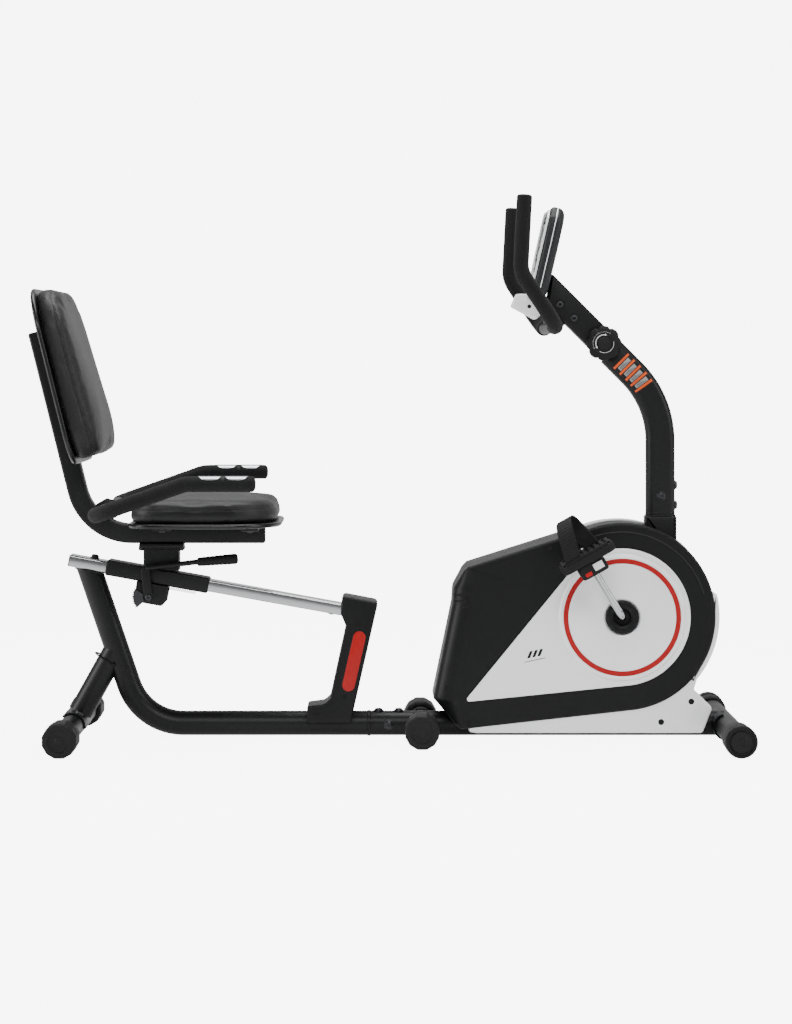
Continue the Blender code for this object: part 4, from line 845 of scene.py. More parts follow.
def carriage():
    sleeve_path = at_y([rail_point(0.0788), rail_point(0.2913)], 0)
    outer = box_section(0.0582, 0.0322, 0.0048, 7)
    sleeve = sweep(sleeve_path, outer, (0, 1, 0), (0.0009, 0.0009))
    piece("carriage_sleeve", sleeve, POWDER, "seat", "seat_carriage")
    for number, along in enumerate((0.077, 0.2896)):
        liner = sweep(at_y([rail_point(along), rail_point(along + 0.0035)], 0),
                      box_section(0.0545, 0.0282, 0.004, 7), (0, 1, 0), (0.0008, 0.0008))
        piece(f"carriage_liner_{number + 1}", liner, CAP_PLASTIC, "seat")
    foot = rail_point(0.17, 0.01)[1]
    column = sweep([(-0.463, 0, foot), (-0.463, 0, 0.401)], box_section(0.048, 0.074, 0.004, 6), (0, 1, 0))
    piece("carriage_column", column, POWDER, "seat")
    plate = rounded([(-0.509, 0.4002), (-0.417, 0.4002), (-0.417, 0.4093), (-0.509, 0.4093)], 0.0012, 3)
    piece("carriage_flange", slab(plate, -0.0262, 0.0262, 0.0012, 2), POWDER, "seat")
    bead = [(-0.5005, side * 0.0242, 0.3995) for side in (-1, 1)] + [(-0.4255, side * 0.0242, 0.3995)
                                                                     for side in (1, -1)]
    ring = np.array(bead + bead[:1])
    fine = np.concatenate([np.linspace(a, b, 26)[:-1] for a, b in zip(ring, ring[1:])] + [ring[-1:]])
    ripple = 1 + 0.16 * np.sin(np.arange(len(fine)) * 1.9)
    bead_tube = sweep(fine, round_section(0.0026, 10), None, scale=np.column_stack([ripple, ripple]))
    piece("carriage_weld", bead_tube, POWDER, "seat")
    for number, x in enumerate((-0.5045, -0.4215)):
        for hand, side in SIDES:
            bolt(f"carriage_bolt_{number + 1}_{hand}", (x, side * 0.0175, 0.4001), (0, 0, -1), 0.0058,
                 "seat", height=0.0058)
    clamp_bracket()
    lever()


def clamp_bracket():
    """A folded U bracket under the rail with the serrated cam, the pivot pin and the return spring."""
    low, high = -0.0583, -0.0163
    corners = [rail_point(0.146, low + 0.006), rail_point(0.152, low), rail_point(0.205, low),
               rail_point(0.211, low + 0.008), rail_point(0.2115, high), rail_point(0.1455, high)]
    outline = rounded(corners, [0.006, 0.006, 0.006, 0.006, 0.001, 0.001], 5)
    for hand, side in SIDES:
        y = sorted((side * 0.0308, side * 0.034))
        cheek = piece(f"clamp_cheek_{hand}", slab(outline, *y, 0.0009, 3), POWDER, "seat")
        if hand == "right":
            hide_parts("clamp_bracket")
    top = band([rail_point(0.1455, high - 0.0016), rail_point(0.2115, high - 0.0016)], 0.003)
    piece("clamp_bridge", slab(top, -0.0325, 0.0325, 0.0008, 2), POWDER, "seat")
    pivot = rail_point(0.1765, -0.0433)
    angle = np.linspace(0, 2 * math.pi, 181)[:-1]
    tooth = np.abs((angle * 30 / (2 * math.pi)) % 1 - 0.5) * 2
    swing = np.clip(np.cos(angle - math.radians(150)), 0, 1)
    radius = 0.0118 + 0.0042 * swing + 0.0011 * tooth * (swing > 0.15)
    cam = pivot + radius[:, None] * np.column_stack([np.cos(angle), np.sin(angle)])
    piece("clamp_cam", slab(cam, -0.027, 0.027, 0.0006, 2), STEEL, "lever")
    piece("clamp_pin", sweep([(pivot[0], -0.0495, pivot[1]), (pivot[0], 0.038, pivot[1])],
                             round_section(0.004, 24), (1, 0, 0), (0.0008, 0.0008)), STEEL, "lever")
    fan = np.radians(np.linspace(150, 222, 60))
    teeth = 0.034 + 0.0012 * np.sign(np.sin(np.linspace(0, 2 * math.pi * 11, 60)))
    plate = np.concatenate([pivot + teeth[:, None] * np.column_stack([np.cos(fan), np.sin(fan)]),
                            pivot + 0.012 * np.column_stack([np.cos(fan[::-6]), np.sin(fan[::-6])])])
    piece("clamp_teeth", slab(plate, -0.0392, -0.0362, 0.0, 1), BOLT_STEEL, "lever")
    hexagon_nut("clamp_nut", (pivot[0], 0.0342, pivot[1]), (0, 1, 0), 0.0072, "seat", 0.0045)
    spring()


def spring():
    """A tension spring: the wire follows along * t + radius * (cos, sin) of 14 turns."""
    start, end = on(rail_point(0.2115, -0.0215), 0), on(rail_point(0.269, -0.0215), 0)
    start, end = np.array(start), np.array(end)
    along = unit(end - start)
    side = vec(0, 1, 0)
    up = np.cross(along, side)
    turns, steps = 15, 15 * 16
    share = np.linspace(0, 1, steps + 1)
    angle = share * turns * 2 * math.pi
    size = 0.0029 * np.minimum(1, np.minimum(share, 1 - share) * 14 + 0.15)
    length = np.linalg.norm(end - start)
    coil = (start + along * (length * share)[:, None] + size[:,
                                                             None] * (np.cos(angle)[:, None] * side
                                                                      + np.sin(angle)[:, None] * up))
    piece("return_spring", sweep(coil, round_section(0.00062, 8), None), CHROME, "seat", "lever_spring")


def lever():
    pivot = rail_point(0.1765, -0.0433)
    elbow, rod_end, tip = vec(-0.4945, 0.36), vec(-0.386, 0.373), vec(-0.302, 0.38)
    leg = rounded(band([pivot + (pivot - elbow) * 0.06, elbow - (pivot - elbow) * 0.03], 0.018), 0.0075, 7)
    piece("lever_leg", slab(leg, LEVER_Y - 0.0038, LEVER_Y + 0.0038, 0.0016, 4), POWDER, "lever",
          "clamp_lever")
    along = unit(tip - rod_end)
    start = elbow + (rod_end - elbow) * 0.015
    shaft = bend([start, rod_end - along * 0.004, rod_end + along * 0.02], 0.03, 8)
    piece("lever_rod", sweep(at_y(shaft, LEVER_Y), round_section(0.0055, 28), (0, 1, 0), (0.0018, 0)),
          POWDER, "lever")
    reach = np.linalg.norm(tip - rod_end)
    share = np.linspace(0, 1, 40)
    ribbed = (share > 0.15) * (share < 0.85)
    swell = 0.0089 + 0.0021 * share ** 0.8 - 0.00035 * np.cos(share * math.pi * 2 * 9) * ribbed
    rows = [(0, 0), (0.007, 0), (0.0084, 0.0008)]
    rows += [(r, 0.0016 + s * (reach - 0.0075)) for s, r in zip(share, swell)]
    rows += [(0.0102, reach - 0.0036), (0.0086, reach - 0.0014), (0.0055, reach - 0.0003), (0, reach)]
    axis = (along[0], 0, along[1])
    piece("lever_hand_grip", lathe(rows, on(rod_end, LEVER_Y), axis, 48), RUBBER, "lever", "lever_grip")
    bolt("lever_pivot_bolt", (pivot[0], LEVER_Y - 0.0038, pivot[1]), (0, -1, 0), 0.007, "lever")


# ---- Seat tube, pans and handlebar ----

def seat_tube():
    path = bend([SEAT_CORNER + SEAT_UP * 0.431, SEAT_CORNER, (-0.2496, SEAT_CORNER[1])], 0.118, 28)
    tube = sweep(at_y(path, 0), box_section(0.04, 0.04, 0.0055, 7), (0, 1, 0), (0.001, 0.001))
    piece("seat_tube_bar", tube, POWDER, "seat", "seat_tube")
    for name, place, direction in (("top", SEAT_CORNER + SEAT_UP * 0.4302, SEAT_UP),
                                   ("front", vec(-0.2505, SEAT_CORNER[1]), vec(1.0, 0.0))):
        plug = sweep([on(place, 0), on(place + direction * 0.0026, 0)],
                     box_section(0.0375, 0.0375, 0.005, 7), (0, 1, 0), (0, 0.0016))
        piece(f"seat_tube_plug_{name}", plug, CAP_PLASTIC, "seat")
    for number, x in enumerate((-0.455, -0.275)):
        bracket = rounded([(x - 0.0175, 0.4405), (x + 0.0175, 0.4405), (x + 0.0175, 0.4492),
                           (x - 0.0175, 0.4492)], 0.0012, 3)
        piece(f"seat_cross_bracket_{number + 1}", slab(bracket, -0.118, 0.118, 0.0012, 2), POWDER, "seat")
        for hand, side in SIDES:
            bolt(f"seat_pan_bolt_{number + 1}_{hand}", (x, side * 0.098, 0.4406), (0, 0, -1), 0.0062, "seat")
    for number, up in enumerate((0.205, 0.395)):
        middle = on_back(up, 0.019)
        half = SEAT_UP * 0.016
        strip = band([middle - half, middle + half], 0.003)
        piece(f"back_cross_bracket_{number + 1}", slab(strip, -0.105, 0.105, 0.0009, 2), POWDER, "seat")
        for hand, side in SIDES:
            bolt(f"back_pan_bolt_{number + 1}_{hand}", on(on_back(up, 0.0176), side * 0.085),
                 (-SEAT_OUT[0], 0, -SEAT_OUT[1]), 0.0062, "seat")


def seat_outline(length, width, belly):
    """The seat from above: wide corners in front, tighter ones behind."""
    return pan_plan(length, width, [0.06, 0.118, 0.118, 0.06], belly)


def back_outline(length, width, belly):
    """The backrest square on: its top corners are the rounder ones."""
    return pan_plan(length, width, [0.062, 0.09, 0.09, 0.062], belly)


def pan_plan(length, width, radii, belly):
    """A pan's outline seen square on: a rounded rectangle whose sides bow out by belly * (1 - share
    squared)."""
    outline = rounded([(-length / 2, -width / 2), (length / 2, -width / 2), (length / 2, width / 2),
                       (-length / 2, width / 2)], radii, 12)
    fine = []
    for first, second in zip(outline, np.roll(outline, -1, axis=0)):
        count = max(1, int(np.linalg.norm(second - first) / 0.012))
        fine.append(np.linspace(first, second, count + 1)[:-1])
    fine = np.concatenate(fine)
    along, across = fine[:, 0] / (length / 2), fine[:, 1] / (width / 2)
    fine[:, 1] += np.sign(across) * belly * (1 - along ** 2) * np.abs(across) ** 3
    fine[:, 0] += np.sign(along) * belly * (1 - across ** 2) * np.abs(along) ** 3
    return fine


def rim(outline, place, thickness, edge, steps=5):
    """A pan: the outline stacked through its thickness with quarter-round edges. place(u, v, height)
    gives the point."""
    angle = np.linspace(0, math.pi / 2, steps + 1)
    rows = [(edge_offset(outline, -edge * (1 - math.sin(t))), edge * (1 - math.cos(t))) for t in angle]
    rows += [(edge_offset(outline, -edge * (1 - math.sin(t))), thickness - edge * (1 - math.cos(t)))
             for t in angle[::-1]]
    return tube_of(np.array([place(ring[:, 0], ring[:, 1], height) for ring, height in rows]))


def seat_place(u, v, height):
    """Seat axes: u forward, v to the left, height up from the pan's underside."""
    height = np.broadcast_to(height, np.shape(u))
    return np.column_stack([-0.366 + u, v, 0.4498 + height])


def back_place(u, v, height):
    """Back axes: u up the tube, v to the left, height out from the pan's rear face."""
    height = np.broadcast_to(height, np.shape(u))
    start = on_back(0.331, 0.0203)
    return np.column_stack([start[0] + SEAT_UP[0] * u + SEAT_OUT[0] * height, v,
                            start[1] + SEAT_UP[1] * u + SEAT_OUT[1] * height])


def pans():
    seat = seat_outline(0.306, 0.394, 0.002)
    piece("seat_pan_tray", rim(seat, seat_place, 0.0098, 0.0047), TRIM, "seat", "seat_pan")
    back = back_outline(0.366, 0.386, 0.002)
    piece("back_pan_tray", rim(back, back_place, 0.0098, 0.0047), TRIM, "seat", "back_pan")
    for name, plan, place in (("seat", seat, seat_place), ("back", back, back_place)):
        ribs = []
        for share in (-0.5, -0.25, 0.0, 0.25, 0.5):
            across = share * plan[:, 1].max()
            strip = pan_plan(plan[:, 0].max() * 1.45, 0.005, 0.0024, 0.0)
            strip[:, 1] += across
            ribs.append(rim(strip, place, 0.0022, 0.0006, 2))
        shapes = [(points + (place(vec(0), vec(0), -0.0018) - place(vec(0), vec(0), 0.0)), faces)
                  for points, faces in ribs]
        piece(f"{name}_pan_ribs", merge(*shapes), CAP_PLASTIC, "seat")


def seat_handlebar():
    ahead = vec(1.0, 0.0)
    half = math.acos(SEAT_UP @ ahead) / 2
    toward = unit(SEAT_UP + ahead)
    centre = SEAT_CORNER + toward * 0.118 / math.sin(half)
    cross = centre - toward * (0.118 - 0.02 - HANDLE_R - 0.0006)
    front, knee = vec(-0.262, 0.545), vec(-0.394, 0.545)
    side = [front, knee, cross]
    corners = np.concatenate([at_y(side, -0.285), at_y(side[::-1], 0.285)])
    path = bend(corners, [0.06, 0.05, 0.05, 0.06], 18)
    piece("seat_handlebar_tube", sweep(path, round_section(HANDLE_R, 40), None), POWDER, "seat",
          "seat_handlebar")
    for hand, place in (("right", -0.285), ("left", 0.285)):
        tip_grip(f"seat_grip_{hand}", on(front, place))
        pulse_sensor(f"pulse_sensor_{hand}", place)
    for hand, way in (("right", 1), ("left", -1)):
        covered = path[::way]
        stretch = np.concatenate([covered[:1] + (covered[1:2] - covered[:1]) * np.linspace(0.19, 0.95,
                                                                                           12)[:, None],
                                  covered[1:20]])
        down = covered[19] + (covered[20] - covered[19]) * np.linspace(0.08, 0.94, 12)[:, None]
        foam_sleeve(f"arm_foam_{hand}", np.concatenate([stretch, down, covered[20:39]]))
    clamp = rounded([cross + vec(-0.021, -0.019), cross + vec(0.017, -0.021), cross + vec(0.021, 0.013),
                     cross + vec(-0.004, 0.021), cross + vec(-0.023, 0.01)], 0.006, 5)
    for hand, place in SIDES:
        y = sorted((place * 0.0215, place * 0.025))
        piece(f"handlebar_saddle_{hand}", slab(clamp, *y, 0.0008, 2), POWDER, "seat")
        bolt(f"handlebar_saddle_bolt_{hand}", on(cross + vec(0.012, -0.012), place * 0.025), (0, place, 0),
             0.006, "seat")


def tip_grip(name, tip):
    """The foam end of the handle, from its rounded nose back to the arm's sleeve: radius follows a
    quarter circle."""
    nose = 0.0075
    turn = np.linspace(0, math.pi / 2, 9)
    rows = [(GRIP_R * math.sin(t) ** 0.8, nose * (1 - math.cos(t))) for t in turn]
    rows += [(GRIP_R, 0.02), (GRIP_R, 0.033), (GRIP_R - 0.0006, 0.034), (0.0128, 0.034), (0.0128, 0.01),
             (0, 0.01)]
    piece(name + "_nose", lathe(rows, (tip[0] + 0.008, tip[1], tip[2]), (-1, 0, 0), 48), FOAM, "seat", name)


def pulse_sensor(name, place):
    """Two stainless plates end to end on the handle's top: half angle = 62 * (1 - t ** 4) degrees at t
    along the plate, each in a thin raised rim, with a black bar where they meet."""
    middle, half, radius = -0.3185, 0.025, GRIP_R
    along = np.linspace(-1, 1, 33)
    share = np.linspace(-1, 1, 17)
    for part, shift in (("front", 0.0262), ("rear", -0.0262)):
        for kind, reach, wide, low, high, finish in (("plate", 0.94, 58, 0.0002, 0.0006, PULSE_STEEL),
                                                     ("rim", 1.03, 66, -0.0004, 0.0003, CAP_PLASTIC)):
            rows = []
            for t in along:
                angle = np.radians(wide * max(0.012, 1 - t ** 4)) * share
                ring = [(radius + high, angle), (radius + low, angle[::-1])]
                points = np.concatenate([np.column_stack([np.full(17, middle + shift + half * reach * t),
                                                          place + r * np.sin(a), 0.545 + r * np.cos(a)])
                                         for r, a in ring])
                rows.append(points)
            piece(f"{name}_{part}_{kind}", tube_of(np.array(rows)), finish, "seat")
    angle = np.radians(np.linspace(-70, 70, 25))
    ring = np.concatenate([np.column_stack([(radius + 0.0007) * np.sin(angle),
                                            (radius + 0.0007) * np.cos(angle)]),
                           np.column_stack([(radius - 0.001) * np.sin(angle[::-1]),
                                            (radius - 0.001) * np.cos(angle[::-1])])])
    bar = np.array([np.column_stack([np.full(50, middle + x), place + ring[:, 0], 0.545 + ring[:, 1]])
                    for x in (-0.003, 0.003)])
    piece(f"{name}_bar", tube_of(bar), CAP_PLASTIC, "seat")


def foam_sleeve(name, path):
    """Foam over the handle, the sloping arm and the bend below it: a sleeve fatter than the tube,
    swelling a little."""
    wobble = 1 + 0.006 * np.sin(np.arange(len(path)) * 1.3)
    sleeve = sweep(path, round_section(GRIP_R, 40), None, (0.003, 0.003), np.column_stack([wobble, wobble]))
    piece(name, sleeve, FOAM, "seat")


# ---- Housing, panels and base ----

HOUSING_R, HOUSING_HALF = 0.193, 0.083
COLUMN_WIDE, COLUMN_DEEP = 0.046, 0.034
EDGE_R = 0.006


def touch_angle(point, radius, side):
    """Where a line from the point touches the circle round the crank: atan2 of the reach less
    acos(radius / reach)."""
    reach = vec(*point) - vec(*CRANK)
    angle = math.atan2(reach[1], reach[0]) - side * math.acos(radius / np.linalg.norm(reach))
    return angle % (2 * math.pi) if side > 0 else angle


def housing_outline():
    top, low = (0.173, 0.366), (0.158, 0.032)
    start, end = touch_angle(low, HOUSING_R, -1), touch_angle(top, HOUSING_R, 1)
    corners = [polar(CRANK, HOUSING_R, math.degrees(end)), top, (0.163, 0.356), (0.142, 0.32),
               (0.14, 0.287), (0.1, 0.093), (0.11, 0.0825), (0.144, 0.043), low,
               polar(CRANK, HOUSING_R, math.degrees(start))]
    radii = [0, 0.005, 0.008, 0.03, 0.045, 0.009, 0.009, 0.012, 0.008, 0]
    return np.concatenate([arc(CRANK, HOUSING_R, start, end, 120)[1:-1], rounded(corners, radii, 6)])


def column_share(outline):
    """How far the rounding is the column's wide one: smooth steps, 3 s**2 - 2 s**3, across 35 mm of x
    and, at the foot, 50 mm of z."""
    share = np.clip((0.175 - outline[:, 0]) / 0.035, 0, 1)
    foot = np.clip((outline[:, 1] - 0.03) / 0.05, 0, 1)
    return share * share * (3 - 2 * share) * foot * foot * (3 - 2 * foot)


def housing_half(outline, side):
    """Shell half whose edge is 6 mm round. Down the rear column it widens to an ellipse 46 mm by 34 mm:
    inset = width * (1 - cos), drop = depth * (1 - sin)."""
    share = column_share(outline)[:, None]
    inward = (edge_offset(outline, -EDGE_R) - outline) * (1 - share) + share * vec(COLUMN_WIDE, 0)
    depth = EDGE_R * (1 - share[:, 0]) + COLUMN_DEEP * share[:, 0]
    rings = [at_y(edge_offset(outline, -0.001), side * GAP), at_y(outline, side * 0.0013)]
    for t in np.linspace(0, math.pi / 2, 12):
        ring = outline + inward * (1 - math.cos(t))
        y = side * (HOUSING_HALF - depth * (1 - math.sin(t)))
        rings.append(np.column_stack([ring[:, 0], y, ring[:, 1]]))
    centre = vec(CRANK[0], side * HOUSING_HALF, CRANK[1])
    rings += [centre + (rings[-1] - centre) * share for share in (0.985, 0.5, 0.02)]
    return tube_of(np.array(rings))


def column_depth(x, rear):
    """The y of the rounded column at this x, where rear is the outline's x at that height."""
    share = np.clip(1 - (np.asarray(x) - rear) / COLUMN_WIDE, 0, 1)
    return HOUSING_HALF - COLUMN_DEEP * (1 - np.sqrt(1 - share ** 2))


def housing():
    outline = housing_outline()
    for hand, side in SIDES:
        half = housing_half(outline, side)
        piece(f"housing_shell_{hand}", half, PLASTIC, replaces=f"housing_{hand}", sharp=30)
        side_panel(hand, side)
        column(hand, side)
        spots = ((0.338, 0.405), (0.636, 0.368), (0.129, 0.118), (0.173, 0.045), (0.63, 0.089),
                 (0.568, 0.047))
        for number, spot in enumerate(spots):
            y = side * (0.0779 if number > 3 else (0.0828, 0.0828, 0.0787, 0.0828)[number])
            screw_recess(f"housing_screw_{hand}_{number + 1}", spot, y, side, 0.0054)
        painted_highlight_strip(side)


def teardrop(radius, corner, corner_r=0.0, steps=110):
    low, high = touch_angle(corner, radius, -1), touch_angle(corner, radius, 1)
    ends = [polar(CRANK, radius, math.degrees(high)), corner, polar(CRANK, radius, math.degrees(low))]
    tip = bend(ends, corner_r, 8)[1:-1] if corner_r else vec(*corner)[None, :]
    return np.concatenate([arc(CRANK, radius, low, high, steps), tip])


def side_panel(hand, side):
    """The silver teardrop with its raised disc, the red ring let into the disc and the hub over the
    bearing."""
    base = side * (HOUSING_HALF + 0.0001)
    shoulder = side * (HOUSING_HALF + 0.0034)
    y = sorted((base, shoulder))
    panel = teardrop(0.1407, (0.1625, 0.0885), 0.005)
    piece(f"side_panel_{hand}_face", slab(panel, *y, 0.0014, 4), SILVER, replaces=f"side_panel_{hand}")
    groove = sorted((side * (HOUSING_HALF - 0.0005), side * (HOUSING_HALF + 0.0012)))
    piece(f"side_panel_{hand}_shadow_gap", slab(edge_offset(panel, 0.0016), *groove, 0.0005, 2), DARK_HOLE)
    top = HOUSING_HALF + 0.0113
    rows = [(0.13, HOUSING_HALF + 0.0005), (0.13, top - 0.0052), (0.1292, top - 0.003),
            (0.1275, top - 0.0013), (0.125, top - 0.0003), (0.1222, top), (0.1212, top - 0.0002),
            (0.1205, top - 0.001), (0.1205, top - 0.0024), (0.1103, top - 0.0024), (0.1103, top - 0.001),
            (0.1096, top - 0.0002), (0.1085, top), (0.041, top), (0.0385, top - 0.0004),
            (0.0365, top - 0.0016), (0.0352, top - 0.0034), (0.0349, HOUSING_HALF + 0.0005), ]
    centre = (CRANK[0], 0, CRANK[1])
    piece(f"panel_disc_{hand}", loop_lathe(rows, base=centre, axis=(0, side, 0), steps=144), SILVER)
    ring = [(0.1202, top - 0.0026), (0.1202, top - 0.0012), (0.1196, top - 0.0006), (0.1112, top - 0.0006),
            (0.1106, top - 0.0012), (0.1106, top - 0.0026)]
    piece(f"panel_ring_{hand}", loop_lathe(ring, base=centre, axis=(0, side, 0), steps=144), RED)
    rim_top = HOUSING_HALF + 0.0152
    hub = [(0.034, HOUSING_HALF - 0.006), (0.034, rim_top - 0.003), (0.0334, rim_top - 0.0012),
           (0.032, rim_top - 0.0002), (0.03, rim_top), (0.0196, rim_top - 0.0006),
           (0.0178, rim_top - 0.0016), (0.0166, rim_top - 0.004), (0.0166, HOUSING_HALF - 0.03),
           (0.023, HOUSING_HALF - 0.03), (0.023, HOUSING_HALF - 0.006)]
    piece(f"hub_cover_{hand}_ring", loop_lathe(hub, base=centre, axis=(0, side, 0), steps=96), PLASTIC,
          replaces=f"hub_cover_{hand}")
    well = [(0, HOUSING_HALF + 0.005), (0.0172, HOUSING_HALF + 0.005), (0.0172, HOUSING_HALF + 0.003),
            (0, HOUSING_HALF + 0.003)]
    piece(f"hub_well_{hand}", lathe(well, centre, (0, side, 0), 48), DARK_HOLE)
    facet_count = 9
    for k in range(facet_count):
        start = 2 * math.pi * (k + 0.1) / facet_count
        wedge = np.concatenate([arc(CRANK, 0.0311, start, start + 0.48, 6),
                                arc(CRANK, 0.0216, start + 0.46, start + 0.02, 6)])
        lift = sorted((side * (rim_top - 0.0008), side * (rim_top + 0.0003)))
        piece(f"hub_rib_{hand}_{k + 1}", slab(wedge, *lift, 0.0003, 2), PLASTIC)
    emblem = []
    mark = sorted((side * (HOUSING_HALF + 0.0033), side * (HOUSING_HALF + 0.0036)))
    for k in range(3):
        x, low = 0.292 + k * 0.0105, 0.178 + k * 0.0022
        bar = rounded([(x, low), (x + 0.0064, low + 0.0014), (x + 0.0124, low + 0.0164),
                       (x + 0.006, low + 0.015)], 0.001, 3)
        emblem.append(slab(bar, *mark, 0.0001, 2))
    underline = rounded([(0.287, 0.17), (0.33, 0.1792), (0.33, 0.1806), (0.287, 0.1714)], 0.0003, 2)
    emblem.append(slab(underline, *mark, 0.0001, 2))
    piece(f"panel_emblem_{hand}", merge(*emblem), PLASTIC)


def column(hand, side):
    """Three finger grooves across the column's rounding near the top, and the line moulded round the upper
    housing, made in a lighter grey plastic as a painted highlight."""
    for k in range(3):
        x = np.linspace(0.1425, 0.174, 20)
        y = side * (column_depth(x, 0.1402) - 0.0002)
        path = np.column_stack([x, y, 0.2815 + k * 0.0125 + (x - 0.1455) * 0.08])
        groove = sweep(path, round_section(0.0021, 12) * vec(1, 0.35), (0, 0, 1), (0.0005, 0.0005))
        piece(f"column_groove_{hand}_{k + 1}", groove, DARK_HOLE)
    path = arc(CRANK, 0.1745, math.radians(16), math.radians(118), 90)
    y = sorted((side * (HOUSING_HALF - 0.0006), side * (HOUSING_HALF + 0.0006)))
    # The line's lighter grey plastic is a painted highlight along the moulded step.
    piece(f"housing_highlight_line_{hand}", slab(band(path, 0.0022), *y, 0.0006, 2), CONSOLE_PLASTIC)


def painted_highlight_strip(side):
    """A thin silver strip on the far shell's edge, where it shows behind the near one: a painted highlight of
    the light falling on that edge.
    """
    if side < 0:
        return
    path = arc(CRANK, HOUSING_R + 0.0012, math.radians(-28), math.radians(112), 90)
    y = sorted((0.004, 0.03))
    # The silver strip stands for light on the edge and is made on the far side only: a painted highlight.
    piece("housing_highlight_strip", slab(band(path, 0.004), *y, 0.0009, 3), SILVER)


def base_shroud():
    rise, foot = math.radians(13), math.radians(-43)
    for hand, side in SIDES:
        inner = arc(CRANK, HOUSING_R - 0.004, rise, foot, 60)
        outer = arc(CRANK, 0.2015, foot, rise, 60)
        y = (side * GAP, side * 0.078)
        crescent = np.concatenate([outer, inner])
        piece(f"base_crescent_{hand}", shell_half(crescent, *y, 0.0035, 0.0006), SILVER, sharp=32)
        touch = polar(CRANK, HOUSING_R + 0.0004, -131)
        skirt_arc = arc(CRANK, HOUSING_R - 0.004, math.radians(-40), math.radians(-128), 60)
        corners = [(0.157, 0.0285), (0.19, 0.024), (0.6534, 0.024), (0.6735, 0.0765), (0.6345, 0.111),
                   polar(CRANK, 0.201, -39)]
        body = rounded([touch, *corners, skirt_arc[0]], [0, 0.006, 0.03, 0.009, 0.01, 0.012, 0.008, 0], 7)
        skirt = np.concatenate([body[:-1], skirt_arc])
        shell = base_shell(skirt, side)
        piece(f"base_shroud_{hand}_shell", shell, SILVER, replaces=f"base_shroud_{hand}", sharp=32)


def base_shell(outline, side):
    """Outside wall and edge only: rows from the seam to the rounded edge."""
    way = side
    rows = [(outline, side * 0.0315), (outline, side * 0.065)]
    edge = 0.0035
    for t in np.linspace(0, math.pi / 2, 7):
        rows.append((edge_offset(outline, -edge * (1 - math.cos(t))),
                     side * 0.078 - way * edge * (1 - math.sin(t))))
    return tube_of(np.array([at_y(ring, y) for ring, y in rows]))


# ---- Crank and pedals ----

CRANK_ANGLE = math.radians(121.3)
ARM = vec(math.cos(CRANK_ANGLE), 0, math.sin(CRANK_ANGLE)) * 0.155


def crank():
    centre, across = vec(CRANK[0], 0, CRANK[1]), vec(0, 1, 0)
    corners = [centre + ARM - across * 0.128, centre - across * 0.112, centre + across * 0.112,
               centre - ARM + across * 0.128]
    path = bend(corners, [0.022, 0.022], 18)
    first, last = path[:1], path[-1:]
    path = np.concatenate([first + (path[1:2] - first) * np.linspace(0, 0.96, 9)[:, None], path[1:-1],
                           path[-2:-1] + (last - path[-2:-1]) * np.linspace(0.04, 1, 9)[:, None]])
    section = round_section(0.0078, 40)
    reach = np.linalg.norm(path - centre, axis=1)
    flat = np.clip((np.linalg.norm((path - centre)[:, [0, 2]], axis=1) - 0.02) / 0.03, 0, 1)
    scale = np.column_stack([1 + 0.0 * reach, np.ones(len(path))])
    scale[:, 0] = 1 + 0.28 * flat
    scale[:, 1] = 1 - 0.1 * flat
    piece("crank_bar", sweep(path, section, None, scale=scale), CHROME, "crank", "crank")
    for hand, side in SIDES:
        tip = centre - side * ARM
        boss = [(0, -0.01), (0.012, -0.01), (0.0138, -0.0086), (0.014, -0.007), (0.014, 0.0055),
                (0.0136, 0.0072), (0.0122, 0.008), (0, 0.008)]
        place = (tip[0], side * 0.128, tip[2])
        piece(f"crank_boss_{hand}", lathe(boss, place, (0, side, 0), 64), CHROME, "crank")
        hexagon_nut(f"pedal_spindle_flats_{hand}", (tip[0], side * 0.1358, tip[2]), (0, side, 0), 0.0088,
                    "crank", 0.0026)
        spindle = [(0, 0), (0.0064, 0), (0.0064, 0.08), (0.0058, 0.082), (0, 0.082)]
        piece(f"pedal_spindle_{hand}", lathe(spindle, (tip[0], side * 0.137, tip[2]), (0, side, 0), 32),
              STEEL, "crank")


def pedal_frame(side):
    """Maps pedal axes (u forward along the tread, v across from its middle, w up) to the bike."""
    tilt = math.radians(29)
    ahead, up = vec(math.cos(tilt), 0, math.sin(tilt)), vec(-math.sin(tilt), 0, math.cos(tilt))
    tip = vec(CRANK[0], 0, CRANK[1]) - side * ARM
    middle = vec(tip[0], side * 0.188, tip[2])

    def place(points):
        points = np.asarray(points, float)
        return middle + points[..., 0:1] * ahead + points[..., 1:2] * vec(0, side, 0) + points[..., 2:3] * up

    return place


def block(place, low, high, corner, edge, material, name, body, replaces=()):
    """A block between two corners, round in plan and with quarter-round top and bottom edges."""
    low, high = vec(*low), vec(*high)
    plan = rounded([(low[0], low[1]), (high[0], low[1]), (high[0], high[1]), (low[0], high[1])], corner, 6)
    angle = np.linspace(0, math.pi / 2, 4)
    rows = [(edge_offset(plan, -edge * (1 - math.sin(t))), low[2] + edge * (1 - math.cos(t))) for t in angle]
    rows += [(edge_offset(plan, -edge * (1 - math.sin(t))), high[2] - edge * (1 - math.cos(t)))
             for t in angle[::-1]]
    rings = np.array([place(np.column_stack([ring, np.full(len(ring), w)])) for ring, w in rows])
    return piece(name, tube_of(rings), material, body, replaces)


